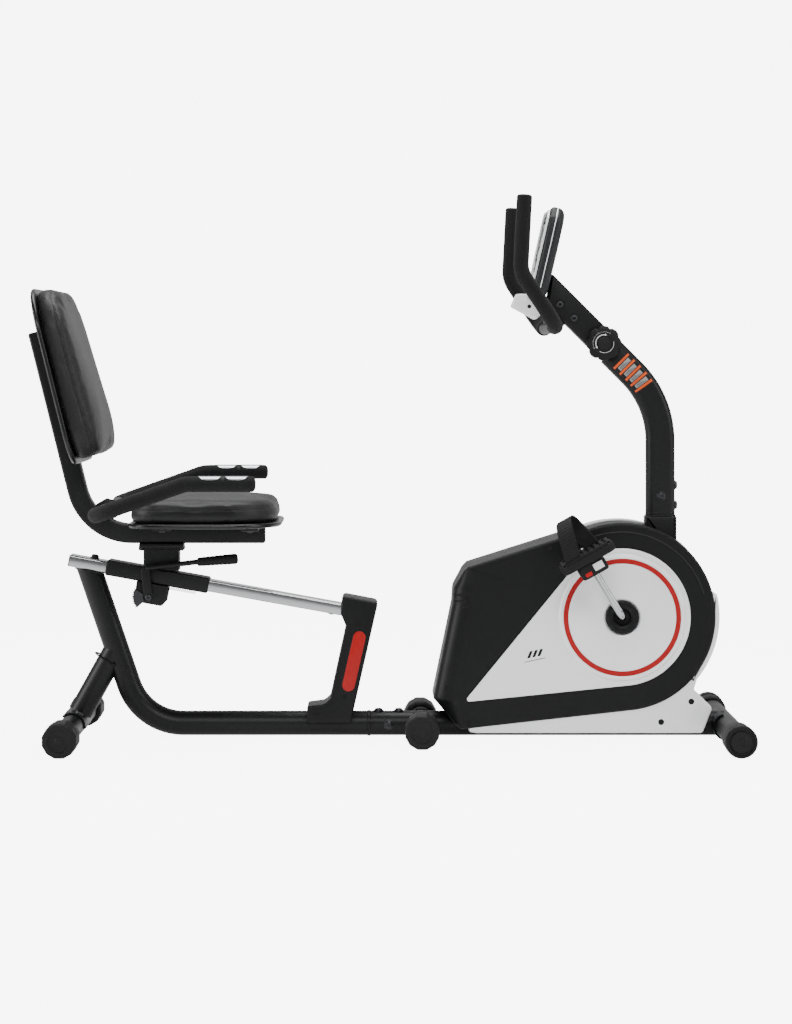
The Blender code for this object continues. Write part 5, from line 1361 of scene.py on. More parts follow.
def pedals():
    for hand, side in SIDES:
        place, body = pedal_frame(side), f"pedal_{hand}"
        half, deep = 0.059, 0.011
        block(place, (-half, -0.05, -deep), (half, 0.05, deep - 0.004), 0.018, 0.004, RUBBER,
              f"pedal_{hand}_body", body, body)
        for k in range(9):
            u = -0.0505 + k * 0.01262
            block(place, (u - 0.0036, -0.044, deep - 0.0048), (u + 0.0036, 0.044, deep), 0.0034, 0.0012,
                  RUBBER, f"pedal_{hand}_tread_{k + 1}", body)
        for end, v in (("inner", -0.0476), ("outer", 0.0476)):
            block(place, (-half + 0.012, v - 0.002, deep - 0.0048),
                  (half - 0.012, v + 0.002, deep + 0.0002), 0.0019, 0.0008, RUBBER,
                  f"pedal_{hand}_edge_{end}", body)
        block(place, (-0.03, -0.044, -deep - 0.0268), (0.028, 0.046, -deep + 0.001), 0.007, 0.005, RUBBER,
              f"pedal_{hand}_weight", body)
        for end, v in (("inner", -0.044), ("outer", 0.046)):
            out = math.copysign(0.0005, v)
            faces = ((0.0, -deep - 0.019, 0.021, -deep - 0.0045, WHITE_PRINT, "label"),
                     (-0.022, -deep - 0.0225, -0.008, -deep - 0.0145, RED, "mark"))
            for left, bottom, right, top, material, kind in faces:
                low, high = sorted((v - out, v + out))
                block(place, (left, low, bottom), (right, high, top), 0.0004, 0.0002, material,
                      f"pedal_{hand}_{kind}_{end}", body)
        boss = lathe([(0, 0), (0.0095, 0), (0.0108, 0.0012), (0.0108, 0.01), (0, 0.01)],
                     place(vec(0, -0.0508, 0)), (0, side, 0), 40)
        piece(f"pedal_{hand}_bearing", boss, CAP_PLASTIC, body)
        strap(hand, place, body)


def strap(hand, place, body):
    """A ribbed strap over the foot, from the tread's outer edge behind to its inner edge in front:
    across its run the band leans forward by the share of the run, and its outer face rises and falls
    with its ribs."""
    foot, reach, rise = 0.0113, 0.046, 0.084
    corners = [(-reach, foot), (-reach, rise), (reach, rise), (reach, foot)]
    path = bend(corners, [0.04, 0.04], 40)
    dense = [path[0]]
    for a, b in zip(path, path[1:]):
        count = max(1, int(round(np.linalg.norm(b - a) / 0.0012)))
        dense += list(np.linspace(a, b, count + 1)[1:])
    path = np.array(dense)
    run = np.concatenate([[0], np.cumsum(np.linalg.norm(np.diff(path, axis=0), axis=1))])
    rib = 0.5 + 0.5 * np.sin(run * 2 * math.pi / 0.0062)
    lean = 0.021 - 0.05 * run / run[-1]
    steps = unit(np.diff(path, axis=0))
    tangent = unit(np.concatenate([steps[:1], steps[:-1] + steps[1:], steps[-1:]]))
    out = np.column_stack([-tangent[:, 1], tangent[:, 0]])
    profile = np.array([(-0.0165, 0), (-0.017, 0.5), (-0.0162, 0.92), (-0.0145, 1), (0, 1), (0.0145, 1),
                        (0.0162, 0.92), (0.017, 0.5), (0.0165, 0), (0.0145, -1), (0, -1), (-0.0145, -1)])
    rings = []
    for spot, way, ribbed, shift in zip(path, out, rib, lean):
        thick = 0.0014 + 0.0011 * ribbed
        offset = np.where(profile[:, 1] >= 0, thick * profile[:, 1], -0.0016)
        point = spot + way * offset[:, None]
        rings.append(np.column_stack([profile[:, 0] + shift, point]))
    piece(f"pedal_strap_{hand}_band", tube_of(place(np.array(rings))), RUBBER, body, f"pedal_strap_{hand}")


# ---- Post, angle knob, neck and upper handlebar ----

POST_X = 0.574
TILT = vec(0.4545, 0.8245)
NECK_WAY = vec(-math.sqrt(0.5), math.sqrt(0.5))
NECK_SIDE = vec(math.sqrt(0.5), math.sqrt(0.5))


def on_neck(along, out):
    """A point along the neck from the tilt pivot and out towards the front."""
    return TILT + NECK_WAY * along + NECK_SIDE * out


def handlebar_post():
    path = bend([(POST_X, 0.47), (POST_X, 0.705), TILT + (vec(POST_X, 0.705) - TILT) * 0.15], 0.2, 30)
    tube = sweep(at_y(path, 0), box_section(0.0418, 0.06, 0.0165, 10), (0, 1, 0), (0.0008, 0.001))
    piece("handlebar_post_tube", tube, POWDER, replaces="handlebar_post")
    cheek = circle(TILT, 0.0288, 72)
    piece("post_hinge_tongue", slab(cheek, -0.0098, 0.0098, 0.001, 2), POWDER)
    root = band([TILT, TILT - NECK_WAY * 0.046], 0.036)
    piece("post_hinge_root", slab(root, -0.0096, 0.0096, 0.001, 2), POWDER)
    collar = sweep([(POST_X, 0, 0.4685), (POST_X, 0, 0.4745)], box_section(0.0424, 0.0606, 0.0165, 10),
                   (0, 1, 0), (0.0012, 0.0012))
    piece("handlebar_post_rim", collar, POWDER)
    for number, z in enumerate((0.53, 0.4885)):
        washer(f"post_front_washer_{number + 1}", (POST_X + 0.0298, 0, z), (1, 0, 0), 0.0105)
        bolt(f"post_front_bolt_{number + 1}", (POST_X + 0.0304, 0, z), (1, 0, 0), 0.0086)
    for hand, side in SIDES:
        washer(f"post_side_washer_{hand}", (POST_X + 0.0005, side * 0.0207, 0.508), (0, side, 0), 0.0098)
        bolt(f"post_side_bolt_{hand}", (POST_X + 0.0005, side * 0.0213, 0.508), (0, side, 0), 0.008)
    post_boot()
    stripes()


def post_boot():
    """The socket on top of the housing that the post stands in."""
    low = CRANK[1] + math.sqrt(HOUSING_R ** 2 - 0.12 ** 2) - 0.006
    corners = [(POST_X - 0.0325, low), (POST_X + 0.0325, low - 0.03), (POST_X + 0.0325, 0.4672),
               (POST_X - 0.0325, 0.4672)]
    outline = rounded(corners, [0.001, 0.001, 0.004, 0.004], 5)
    piece("post_boot_moulding", slab(outline, -0.0228, 0.0228, 0.006, 5), PLASTIC, replaces="post_boot")
    lip = sweep([(POST_X, 0, 0.464), (POST_X, 0, 0.469)], box_section(0.044, 0.0625, 0.015, 9), (0, 1, 0),
                (0.001, 0.0016))
    piece("post_boot_lip", lip, PLASTIC)


def wrapped(along_low, along_high, across_low, across_high, path, lift):
    """A thin patch that follows the post: across its girth, then along its path, lift above the
    surface. The girth runs round the section's front half: flat for 13.5 mm to each side, then round
    corners of 16.5 mm."""
    flat, corner, half = 0.0135, 0.0165, 0.0209
    girth = np.linspace(across_low, across_high, 14)
    turn = np.clip((np.abs(girth) - flat) / corner, 0, math.pi / 2)
    out = np.sign(girth) * (np.minimum(np.abs(girth), flat) + corner * np.sin(turn))
    deep = half - corner * (1 - np.cos(turn))
    normal_out, normal_deep = np.sign(girth) * np.sin(turn), np.cos(turn)
    run = np.concatenate([[0], np.cumsum(np.linalg.norm(np.diff(path, axis=0), axis=1))])
    steps = np.linspace(along_low, along_high, 5)
    spot = np.column_stack([np.interp(steps, run, path[:, k]) for k in (0, 1)])
    ahead = np.column_stack([np.interp(steps + 0.004, run, path[:, k]) for k in (0, 1)])
    way = unit(ahead - spot)
    front = np.column_stack([way[:, 1], -way[:, 0]])
    rings = []
    for place, facing in zip(spot, front):
        rows = []
        for height, order in ((lift, slice(None)), (-0.0004, slice(None, None, -1))):
            flat_out = (out + normal_out * height)[order]
            side = place + facing * flat_out[:, None]
            rows.append(np.column_stack([side[:, 0], (deep + normal_deep * height)[order], side[:, 1]]))
        rings.append(np.concatenate(rows))
    return tube_of(np.array(rings))


def stripes():
    """A warning label on the post's sides: five orange bars, with grey bars and dark dashes between
    them."""
    path = bend([(POST_X, 0.47), (POST_X, 0.705), TILT + (vec(POST_X, 0.705) - TILT) * 0.15], 0.2, 30)
    run = np.concatenate([[0], np.cumsum(np.linalg.norm(np.diff(path, axis=0), axis=1))])
    middle = run[np.argmin(np.linalg.norm(path - vec(0.5129, 0.7632), axis=1))]
    for hand, side in SIDES:
        flip = vec(1, side, 1)
        bars, plain, dashes = [], [], []
        for k in range(5):
            low = middle - 0.0375 + k * 0.0172
            bars.append(wrapped(low, low + 0.0048, -0.0215, 0.0215, path, 0.0004))
            if k < 4:
                plain.append(wrapped(low + 0.0064, low + 0.015, -0.015, 0.015, path, 0.0003))
                for row in range(3):
                    start = low + 0.0078 + row * 0.0022
                    dashes.append(wrapped(start, start + 0.0008, -0.0125, 0.011 - row * 0.005, path, 0.0005))
        for name, shapes, material in (("bars", bars, ORANGE), ("ground", plain, GREY_PRINT),
                                       ("dashes", dashes, DARK_HOLE)):
            points, faces = merge(*shapes)
            piece(f"post_label_{name}_{hand}", (points * flip, faces), material)


def orient(outline):
    """The outline turned anticlockwise, from the sign of its shoelace area."""
    outline = np.asarray(outline, float)
    x, z = outline[:, 0], outline[:, 1]
    area = (x * np.roll(z, -1) - z * np.roll(x, -1)).sum()
    return outline if area > 0 else outline[::-1]


def angle_knob():
    """A lobed knob: its radius less a lobe wave on its grip rows, with a dished face and printed arrows
    and ticks."""
    outer = 0.0365
    rows = [(0, 0.0176), (0.015, 0.0176), (0.0165, 0.018), (0.0178, 0.0192), (0.0205, 0.0198),
            (0.0225, 0.02), (0.0275, 0.0196), (0.0316, 0.0184), (0.0344, 0.0162), (0.0359, 0.0132),
            (outer, 0.0105), (outer, 0.004), (0.0357, 0.0018), (0.0343, 0.0004), (0.0316, 0.0), (0, 0.0)]
    weight = np.array([max(0.0, (radius - 0.024) / (outer - 0.024)) for radius, _ in rows])[:, None]

    def wave(angle, row):
        lobe = np.abs(np.cos(angle * 4)) ** 0.55
        return 1 - 0.125 * weight * (1 - lobe)

    place = (TILT[0], -0.0234, TILT[1])
    piece("angle_knob_grip", lathe(rows, place, (0, -1, 0), 192, wave), RUBBER, "angle_knob", "angle_knob",
          sharp=50)
    cap = [(0, 0.0186), (0.0128, 0.0186), (0.014, 0.0182), (0.0146, 0.0176), (0.0146, 0.016), (0, 0.016)]
    piece("angle_knob_cap", lathe(cap, place, (0, -1, 0), 72), CAP_PLASTIC, "angle_knob")
    arc_path = arc(TILT, 0.0178, math.radians(85), math.radians(205), 24)
    marks = [slab(orient(band(arc_path, 0.0016)), -0.04365, -0.043, 0.0001, 2)]
    for end, way in ((85, -1), (205, 1)):
        tip = polar(TILT, 0.0178, end + way * 11)
        base_in, base_out = polar(TILT, 0.0153, end), polar(TILT, 0.0203, end)
        marks.append(slab(orient([tip, base_in, base_out]), -0.04365, -0.043, 0.0001, 2))
    far_path = arc(TILT, 0.0195, math.radians(240), math.radians(370), 24)
    marks.append(slab(orient(band(far_path, 0.0008)), -0.04365, -0.043, 0.0001, 2))
    for k in range(22):
        spoke = band([polar(TILT, 0.0228, 60 + k * 7), polar(TILT, 0.0244, 60 + k * 7)], 0.0006)
        marks.append(slab(orient(spoke), -0.0436, -0.0425, 0.0001, 2))
    piece("angle_knob_arrow", merge(*marks), WHITE_PRINT, "angle_knob")
    far = [(0, 0.0), (0.009, 0.0), (0.009, 0.0035), (0.0078, 0.0046), (0, 0.0046)]
    piece("angle_knob_bolt_end", lathe(far, (TILT[0], 0.0232, TILT[1]), (0, 1, 0), 40), BOLT_STEEL,
          "angle_knob")
    neck_washer = [(0.006, 0), (0.015, 0), (0.015, 0.0009), (0.0145, 0.0013), (0.006, 0.0013)]
    piece("angle_knob_washer", loop_lathe(neck_washer, base=(TILT[0], 0.0229, TILT[1]), axis=(0, 1, 0),
                                          steps=48), BOLT_STEEL, "neck")


def neck():
    for hand, side in SIDES:
        inner, outer = side * 0.0102, side * 0.0231
        y = sorted((inner, outer))
        outline = orient(rounded([on_neck(0.18, 0.0274), on_neck(0.1405, -0.0274), on_neck(0.004, -0.0274),
                                  on_neck(0.004, 0.0274)], [0.003, 0.003, 0.0, 0.0], 5))
        piece(f"neck_cheek_{hand}", slab(circle(TILT, 0.0296, 96), *y, 0.0026, 4), POWDER, "neck")
        piece(f"neck_side_{hand}", slab(outline, *y, 0.005, 5), POWDER, "neck")
        for number, spot in enumerate((on_neck(0.08, -0.006), on_neck(0.121, -0.0065))):
            well = [(0, -0.0035), (0.0088, -0.0035), (0.0096, 0.0), (0.0096, 0.0006), (0.0106, 0.0007),
                    (0.011, 0.0), (0.011, -0.004), (0, -0.004)]
            piece(f"neck_recess_{hand}_{number + 1}", lathe(well, on(spot, side * 0.0231), (0, side, 0),
                                                            48), DARK_HOLE, "neck")
            bolt(f"neck_bolt_{hand}_{number + 1}", on(spot, side * 0.02), (0, side, 0), 0.008, "neck")


def upper_handlebar():
    top, knee, elbow = vec(0.2785, 1.1085), vec(0.271, 0.966), vec(0.3435, 0.857)
    side = [top, knee, elbow]
    corners = np.concatenate([at_y(side, -0.235), at_y(side[::-1], 0.235)])
    path = bend(corners, [0.06, 0.05, 0.05, 0.06], 18)
    piece("upper_handlebar_tube", sweep(path, round_section(HANDLE_R, 40), None), POWDER, "neck",
          "upper_handlebar")
    for hand, way in (("right", 1), ("left", -1)):
        bent = path[::way][20:39]
        lead = bent[-1] + (path[::way][39] - bent[-1]) * vec(0.02, 0.05, 0.08)[:, None]
        sleeve = sweep(np.concatenate([bent, lead]), round_section(0.01545, 40), None, (0.0, 0.002))
        piece(f"upper_grip_{hand}_elbow", sleeve, FOAM, "neck")
    lean = unit(top - knee)
    tip = top + lean * 0.0095
    whole = bend([elbow, knee, tip], [0.06], 24)
    first = whole[:1] + (whole[1:2] - whole[:1]) * np.linspace(0.34, 0.95, 10)[:, None]
    whole = np.concatenate([first, whole[1:-1],
                            whole[-2:-1] + (tip - whole[-2:-1]) * np.linspace(0.04, 1, 22)[:, None]])
    wobble = 1 + 0.008 * np.sin(np.arange(len(whole)) * 1.1)
    for hand, place in (("right", -0.235), ("left", 0.235)):
        grip = sweep(at_y(whole, place), round_section(0.01545, 40), (0, 1, 0), (0.002, 0.002),
                     np.column_stack([wobble, wobble]))
        piece(f"upper_grip_{hand}_foam", grip, FOAM, "neck", f"upper_grip_{hand}")
        plug = [(0, 0.0024), (0.0085, 0.0024), (0.0128, 0.0014), (0.0142, -0.0004), (0.0142, -0.003),
                (0, -0.003)]
        piece(f"upper_grip_{hand}_plug", lathe(plug, on(tip, place), (lean[0], 0, lean[1]), 40),
              CAP_PLASTIC, "neck")


def handlebar_clamp():
    """The silver cover over the handlebar clamp: faceted flanks round the neck, in two halves."""
    corners = [(0.3135, 0.8735), (0.335, 0.8925), (0.301, 0.927), (0.274, 0.927), (0.263, 0.901)]
    outline = rounded(corners, [0.005, 0.005, 0.005, 0.007, 0.007], 5)
    for number, (hand, side) in enumerate(SIDES):
        y = sorted((side * 0.0234, side * 0.03))
        flank = piece(f"clamp_cover_{hand}", slab(orient(outline), *y, 0.0034, 4), SILVER, "neck")
        if number == 0:
            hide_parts("handlebar_clamp")
        facet = rounded([(0.313, 0.88), (0.3265, 0.8925), (0.296, 0.9205), (0.279, 0.9205),
                         (0.2705, 0.902)], 0.003, 4)
        lift = sorted((side * 0.029, side * 0.0307))
        piece(f"clamp_facet_{hand}", slab(orient(facet), *lift, 0.001, 3), SILVER, "neck")
        screw_recess(f"clamp_screw_{hand}", (0.3, 0.901), side * 0.0307, side, 0.0036, "neck")
    bridge = rounded([(0.263, 0.901), (0.274, 0.927), (0.2795, 0.9245), (0.269, 0.8985)], 0.0015, 3)
    piece("clamp_cover_bridge", slab(orient(bridge), -0.024, 0.024, 0.001, 2), SILVER, "neck")


# ---- Console ----

CONSOLE = vec(0.336, 1.011)
CONSOLE_UP = vec(math.sin(math.radians(12.5)), math.cos(math.radians(12.5)))
CONSOLE_FACE = vec(-CONSOLE_UP[1], CONSOLE_UP[0])


def console_place(points):
    """Console axes: u to the left, v up the face, w out of the face from the case's middle."""
    points = np.asarray(points, float)
    shape = points.shape[:-1]
    spot = (CONSOLE[0] + CONSOLE_UP[0] * points[..., 1] + CONSOLE_FACE[0] * points[..., 2],
            points[..., 0] * np.ones(shape), CONSOLE[1] + CONSOLE_UP[1] * points[..., 1]
            + CONSOLE_FACE[1] * points[..., 2])
    return np.stack(spot, axis=-1)


def stack(plan, rows):
    """Rings of a plan at (inset, height) rows, placed on the console."""
    return tube_of(np.array([console_place(np.column_stack([edge_offset(plan, -inset),
                                                            np.full(len(plan), w)])) for inset, w in rows]))


def ring_stack(plan, rows):
    """A closed frame: rows of (inset, height) that come back to the first."""
    rings = [console_place(np.column_stack([edge_offset(plan, -inset), np.full(len(plan), w)])) for inset,
             w in [*rows, rows[0]]]
    return tube_of(np.array(rings), capped=False)


def plan_box(width, height, corner, centre=(0, 0), steps=8):
    x, z = centre
    return rounded([(x - width / 2, z - height / 2), (x + width / 2, z - height / 2),
                    (x + width / 2, z + height / 2), (x - width / 2, z + height / 2)], corner, steps)


def console_case():
    plan = rounded([(-0.072, -0.0945), (0.072, -0.0945), (0.0995, 0.01), (0.0995, 0.07), (0.078, 0.0945),
                    (-0.078, 0.0945), (-0.0995, 0.07), (-0.0995, 0.01)],
                   [0.022, 0.022, 0.1, 0.016, 0.018, 0.018, 0.016, 0.1], 9)
    back = [(0.03, -0.0183), (0.018, -0.0178), (0.01, -0.016), (0.0045, -0.0125), (0.0012, -0.008),
            (0.0, -0.0035), (0.0, -0.0005)]
    piece("console_back", stack(plan, back), CONSOLE_PLASTIC, "neck", "console_case")
    front = [(0.0008, -0.0003), (0.0, 0.0003), (0.0, 0.006), (0.001, 0.0098), (0.0034, 0.012),
             (0.0075, 0.0126)]
    piece("console_front", stack(plan, front), CONSOLE_PLASTIC, "neck")
    seam = [(-0.0003, -0.0012), (-0.0003, 0.0006), (0.004, 0.0006), (0.004, -0.0012)]
    piece("console_seam_trim", ring_stack(plan, seam), SILVER, "neck")
    bezel = [(0.0078, 0.0145), (0.008, 0.0174), (0.0092, 0.0184), (0.0108, 0.0184), (0.012, 0.0172),
             (0.012, 0.013)]
    piece("console_face_trim", ring_stack(plan, bezel), SILVER, "neck")
    fascia = [(0.0118, 0.011), (0.0118, 0.0128), (0.0126, 0.0134), (0.018, 0.0136)]
    piece("console_fascia", stack(plan, fascia), PLASTIC, "neck")
    frame_plan = plan_box(0.152, 0.097, 0.01, (0, 0.03))
    window = [(0.0, 0.0128), (0.0, 0.0144), (0.001, 0.015), (0.0042, 0.015), (0.0058, 0.0143),
              (0.0062, 0.0128)]
    piece("console_window_frame", ring_stack(frame_plan, window), CONSOLE_PLASTIC, "neck")
    glass = plan_box(0.1404, 0.0854, 0.005, (0, 0.03))
    piece("console_window", stack(glass, [(0, 0.0118), (0, 0.0139), (0.0004, 0.0142)]), DISPLAY, "neck",
          "console_screen")
    readout()
    buttons()
    for k in range(4):
        slot_plan = plan_box(0.03, 0.0022, 0.001, (-0.046 + (k % 2) * 0.092, -0.081 + (k // 2) * 0.005))
        piece(f"console_slot_{k + 1}", stack(slot_plan, [(0, 0.0125), (0, 0.0138)]), DARK_HOLE, "neck")
    battery = plan_box(0.07, 0.05, 0.006, (0, 0.045))
    piece("console_battery_lid", stack(battery, [(0, -0.016), (0, -0.0178), (0.001, -0.0184)][::-1]),
          CONSOLE_PLASTIC, "neck")


def readout():
    """Plain seven-bar digits and a row of small bars, on the display window."""
    shapes = []

    def bar(u, v, width, height):
        shapes.append(stack(plan_box(width, height, min(width, height) * 0.4, (u, v), 3),
                            [(0, 0.0139), (0, 0.01443)]))

    def digit(u, v, size, lit):
        long, thin = size * 0.42, size * 0.085
        spots = {"a": (0, 1, long, thin), "d": (0, -1, long, thin), "g": (0, 0, long, thin),
                 "b": (-0.5, 0.5, thin, long), "c": (-0.5, -0.5, thin, long), "e": (0.5, -0.5, thin, long),
                 "f": (0.5, 0.5, thin, long)}
        for letter in lit:
            across, rise, width, height = spots[letter]
            bar(u + across * long * 1.1, v + rise * size * 0.46, width, height)

    zero, one, two, eight = "abcdef", "bc", "abged", "abcdefg"
    for index, lit in enumerate((one, two, zero, eight)):
        digit(0.034 - index * 0.0225, 0.042, 0.019, lit)
    for index, lit in enumerate((two, zero, one, eight, zero)):
        digit(0.05 - index * 0.024, 0.01, 0.01, lit)
    for index in range(12):
        height = 0.003 + 0.0025 * (1 + math.sin(index * 0.9))
        bar(0.055 - index * 0.01, 0.064 - 0.002 + height / 2, 0.006, height)
    piece("console_readout", merge(*shapes), DARK_HOLE, "neck")


def buttons():
    for name, u in (("mode", -0.03), ("reset", 0.03)):
        plan = circle((u, -0.055), 0.009, 48)
        rows = [(0, 0.011), (0, 0.018), (0.0006, 0.0193), (0.0018, 0.0199), (0.0045, 0.02), (0.007, 0.0199)]
        piece(f"button_{name}_cap", stack(plan, rows), BUTTON_PLASTIC, f"button_{name}", f"button_{name}")
        well = [(-0.0016, 0.015), (-0.0016, 0.0172), (-0.001, 0.0178), (-0.0004, 0.0172), (-0.0004, 0.015)]
        piece(f"button_{name}_bezel", ring_stack(plan, well), SILVER, "neck")


# ---- Cushions ----

def stuffed(name, shape, limit, replaces):
    """Blows the pad up as sewn fabric does: remesh, cloth under pressure, each point's move capped at limit."""
    made = piece(name, shape, LEATHERETTE, "seat", replaces, sharp=180)
    select_only(made)
    remesh = made.modifiers.new("even_mesh", "REMESH")
    remesh.mode = "VOXEL"
    remesh.voxel_size = 0.0055
    bpy.ops.object.modifier_apply(modifier=remesh.name)
    mesh = made.data
    start = points_of(mesh)
    cloth = made.modifiers.new("pressure", "CLOTH")
    cloth.settings.quality = 6
    cloth.settings.mass = 0.3
    cloth.settings.tension_stiffness = 25
    cloth.settings.compression_stiffness = 25
    cloth.settings.shear_stiffness = 12
    cloth.settings.bending_stiffness = 2.5
    cloth.settings.use_pressure = True
    cloth.settings.uniform_pressure_force = 4
    cloth.settings.effector_weights.gravity = 0
    cloth.point_cache.frame_start = 1
    cloth.point_cache.frame_end = 20
    for number in range(1, 21):
        bpy.context.scene.frame_set(number)
    graph = bpy.context.evaluated_depsgraph_get()
    swollen = points_of(made.evaluated_get(graph).data)
    made.modifiers.remove(cloth)
    bpy.context.scene.frame_set(1)
    move = swollen - start
    reach = np.linalg.norm(move, axis=1, keepdims=True)
    start = start + move * np.minimum(1, limit / np.maximum(reach, 1e-9))
    mesh.vertices.foreach_set("co", start.ravel())
    mesh.shade_smooth()
    return made


def points_of(mesh):
    flat = np.empty(len(mesh.vertices) * 3, np.float32)
    mesh.vertices.foreach_get("co", flat)
    return flat.reshape(-1, 3).astype(float)


def select_only(made):
    for other in bpy.context.selected_objects:
        other.select_set(False)
    bpy.context.view_layer.objects.active = made
    made.select_set(True)


def padded_shape(plan, place, wall, edge, crown, belly=0.003, rows=16):
    """A pad: side wall bellied by belly * sin, a round shoulder of radius edge, then a face of
    shrinking rings whose height is wall + crown(u, v) * (1 - share ** 2.4)."""
    rings = []
    for share in np.linspace(0, 1, 7)[:-1]:
        rings.append((edge_offset(plan, belly * (math.sin(share * math.pi) - 0.7)), share * (wall - edge)))
    for t in np.linspace(0, math.pi / 2, 6):
        rings.append((edge_offset(plan, -0.7 * belly - edge * (1 - math.cos(t))),
                      wall - edge * (1 - math.sin(t))))
    shoulder = rings[-1][0]
    for share in np.linspace(1, 0.02, rows)[1:]:
        ring = shoulder * share
        rings.append((ring, wall + crown(ring[:, 0], ring[:, 1]) * (1 - share ** 2.4)))
    points = np.array([place(ring[:, 0], ring[:, 1], height) for ring, height in rings])
    return tube_of(points)


def laid_on(made, path, lift=0.0):
    """The path moved to the nearest place on the pad, then out along the pad's normal by lift."""
    spots = []
    for point in path:
        _, spot, normal, _ = made.closest_point_on_mesh(Vector(point))
        spots.append(spot + normal * lift)
    return np.array([tuple(spot) for spot in spots])


def sew(made, path, depth, width):
    """Pulls the pad in along a seam: each point moves against its normal by depth * exp(-(distance /
    width) ** 2)."""
    mesh = made.data
    spots = points_of(mesh)
    normals = np.empty(len(mesh.vertices) * 3, np.float32)
    mesh.vertices.foreach_get("normal", normals)
    nearest = np.full(len(spots), 1.0)
    for chunk in np.array_split(np.asarray(path), max(1, len(path) // 24)):
        apart = np.linalg.norm(spots[:, None, :] - chunk[None, :, :], axis=2).min(axis=1)
        nearest = np.minimum(nearest, apart)
    pull = depth * np.exp(-(nearest / width) ** 2)
    mesh.vertices.foreach_set("co", (spots - normals.reshape(-1, 3) * pull[:, None]).ravel())
    mesh.update()


def subdivided(made):
    select_only(made)
    finer = made.modifiers.new("finer", "SUBSURF")
    finer.levels = finer.render_levels = 1
    bpy.ops.object.modifier_apply(modifier=finer.name)
    made.data.shade_smooth()


def loop_path(plan, place, inset, height, count):
    """The plan's outline, inset and at one height, resampled at even steps and closed."""
    ring = edge_offset(plan, -inset)
    ring = np.concatenate([ring, ring[:1]])
    run = np.concatenate([[0], np.cumsum(np.linalg.norm(np.diff(ring, axis=0), axis=1))])
    even = np.linspace(0, run[-1], count + 1)
    u, v = np.interp(even, run, ring[:, 0]), np.interp(even, run, ring[:, 1])
    return place(u, v, height)


def stitches(name, path, made, length, gap, radius):
    """A row of thread stitches: short rods laid end to end along the seam, with a gap between them."""
    run = np.concatenate([[0], np.cumsum(np.linalg.norm(np.diff(path, axis=0), axis=1))])
    starts = np.arange(0, run[-1] - length, length + gap)
    share = np.linspace(0, 1, 5)
    section = round_section(radius, 6)
    shapes = []
    for start in starts:
        even = start + share * length
        line = np.column_stack([np.interp(even, run, path[:, k]) for k in range(3)])
        line = laid_on(made, line, 0.0002)
        size = np.sqrt(1 - (share * 1.6 - 0.8) ** 2)
        shapes.append(sweep(line, section, None, scale=np.column_stack([size, size])))
    piece(name, merge(*shapes), THREAD, "seat", weld=False)


def cushions():
    seat_plan = seat_outline(0.298, 0.384, 0.003)

    def seat_crown(u, v):
        return 0.007 + 0.003 * np.cos(v / 0.2 * math.pi) - 0.002 * np.clip(u / 0.15, -1, 1)

    def on_seat(u, v, height):
        return seat_place(u - 0.001, v, np.asarray(height) + 0.011)

    shape = padded_shape(seat_plan, on_seat, 0.04, 0.015, seat_crown, 0.0035)
    finish_pad("seat_cushion_pad", shape, "seat_cushion", seat_plan, on_seat, 0.04, 0.015, 0.006)
    back_plan = back_outline(0.356, 0.374, 0.004)

    def lower(u):
        return np.clip(0.5 - u / 0.356, 0, 1)

    def back_crown(u, v):
        return 0.002 + 0.017 * lower(u) - 0.0015 * np.cos(v / 0.19 * math.pi)

    def on_rest(u, v, height):
        return back_place(u, v, np.asarray(height) * (0.84 + 0.2 * lower(u)) + 0.011)

    shape = padded_shape(back_plan, on_rest, 0.048, 0.016, back_crown, 0.0035)
    finish_pad("back_cushion_pad", shape, "back_cushion", back_plan, on_rest, 0.048, 0.016, 0.006)


def finish_pad(name, shape, replaces, plan, place, wall, edge, limit):
    made = stuffed(name, shape, limit, replaces)
    subdivided(made)
    upper = loop_path(plan, place, 0.0028, wall - edge * 0.55, 420)
    upper = laid_on(made, upper)
    sew(made, upper, 0.0012, 0.003)
    welt = laid_on(made, upper, -0.0001)
    piece(name.replace("pad", "welt"), closed_tube(welt, round_section(0.001, 8)), LEATHERETTE, "seat")
    row = laid_on(made, loop_path(plan, place, 0.001, wall - edge * 0.55 - 0.0055, 420))
    stitches(name.replace("pad", "stitches"), row, made, 0.0032, 0.0014, 0.00038)


# ---- Floor, inner pieces and the order of making ----

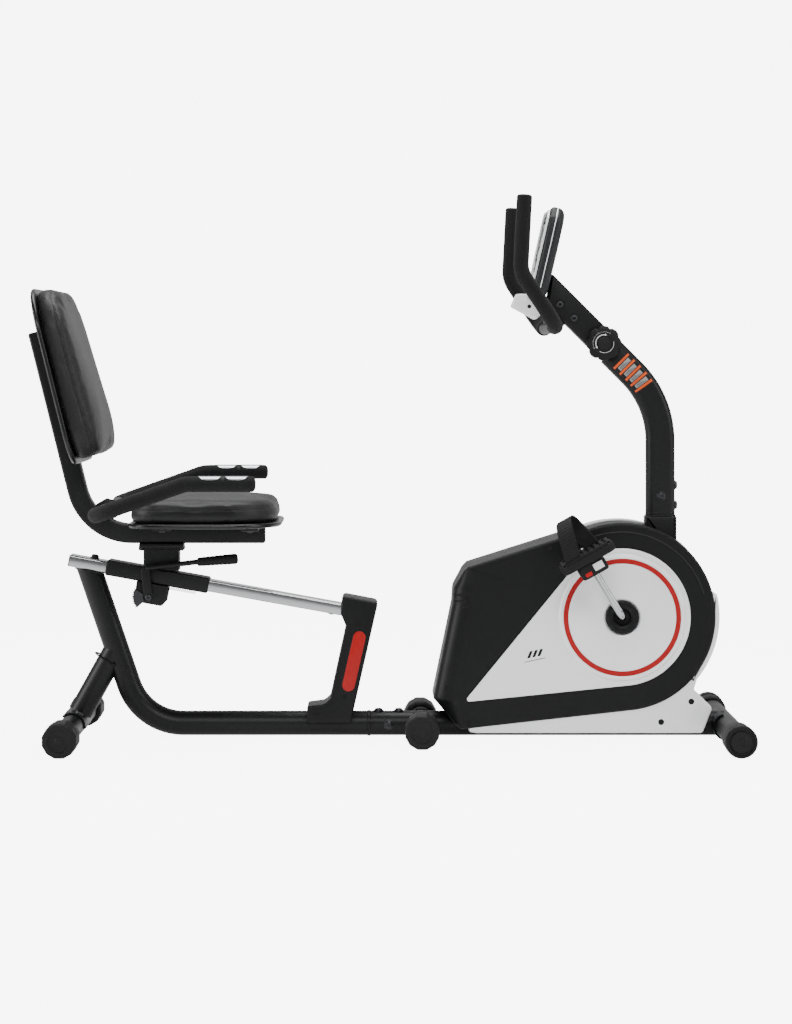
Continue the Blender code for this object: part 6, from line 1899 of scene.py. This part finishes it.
def floor():
    """One sheet: flat under the bike, then a quarter circle up to a wall far behind."""
    flat = np.linspace(-9.0, 5.0, 12)
    angle = np.linspace(0, math.pi / 2, 16)[1:]
    y = np.concatenate([flat, 5.0 + 3.0 * np.sin(angle)])
    z = np.concatenate([np.zeros(12), 3.0 * (1 - np.cos(angle))])
    y, z = np.append(y, 8.0), np.append(z, 12.0)
    rows = np.array([[(x, a, b) for a, b in zip(y, z)] for x in np.linspace(-12, 12, 9)])
    count = rows.shape[1]
    index = np.arange(rows.shape[0] * count).reshape(rows.shape[0], count)
    quads = np.stack([index[:-1, :-1], index[1:, :-1], index[1:, 1:], index[:-1, 1:]], axis=-1).reshape(-1, 4)
    mesh = bpy.data.meshes.new("studio_floor")
    mesh.from_pydata(rows.reshape(-1, 3).tolist(), [], quads.tolist())
    mesh.shade_smooth()
    sheet = bpy.data.objects.new("studio_floor", mesh)
    sheet.location = (0, 0, -0.0005)
    bpy.context.scene.collection.objects.link(sheet)
    finish = Finish("studio_paper", Specular_IOR_Level=0.1)
    drift = finish.noise(0.8, 2.0)
    finish.set(Emission_Strength=0.35)
    finish.feed("Base Color", finish.blend(drift, (0.8, 0.8, 0.8), (0.82, 0.82, 0.82)))
    finish.feed("Roughness", 0.85 + drift * 0.1)
    finish.feed("Emission Color", finish.blend(drift, (0.97, 0.97, 0.97), (1.0, 1.0, 1.0)))
    glow = finish.tree.nodes.new("ShaderNodeEmission")
    glow.inputs["Strength"].default_value = 14.0
    both = finish.tree.nodes.new("ShaderNodeMixShader")
    seen = finish.node("ShaderNodeLightPath", {}) * 0.5
    finish.tree.links.new(seen.socket, both.inputs[0])
    finish.tree.links.new(finish.shader.outputs[0], both.inputs[1])
    finish.tree.links.new(glow.outputs[0], both.inputs[2])
    finish.tree.links.new(both.outputs[0], finish.tree.nodes["Material Output"].inputs["Surface"])
    mesh.materials.append(finish.material)


def coat_inner_pieces():
    """The frame's own pieces that stay in sight, and the drive inside the housing."""
    finishes = {POWDER: ("front_frame", "rail_post", "console_neck"),
                DARK_HOLE: ("crank_bearing_right", "crank_bearing_left"),
                STEEL: ("flywheel_axle", "crank_pulley", "flywheel", "magnet_brake"),
                RUBBER: ("drive_belt",), CAP_PLASTIC: ("tension_motor",), }
    for finish, names in finishes.items():
        for name in names:
            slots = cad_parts[name].data.materials
            for index in range(len(slots)):
                slots[index] = finish
            if not len(slots):
                slots.append(finish)


camera()
studio()
floor()
coat_inner_pieces()
rear_frame()
front_frame()
feet()
rail()
rail_support()
carriage()
seat_tube()
pans()
seat_handlebar()
housing()
base_shroud()
crank()
pedals()
handlebar_post()
angle_knob()
neck()
upper_handlebar()
handlebar_clamp()
console_case()
cushions()
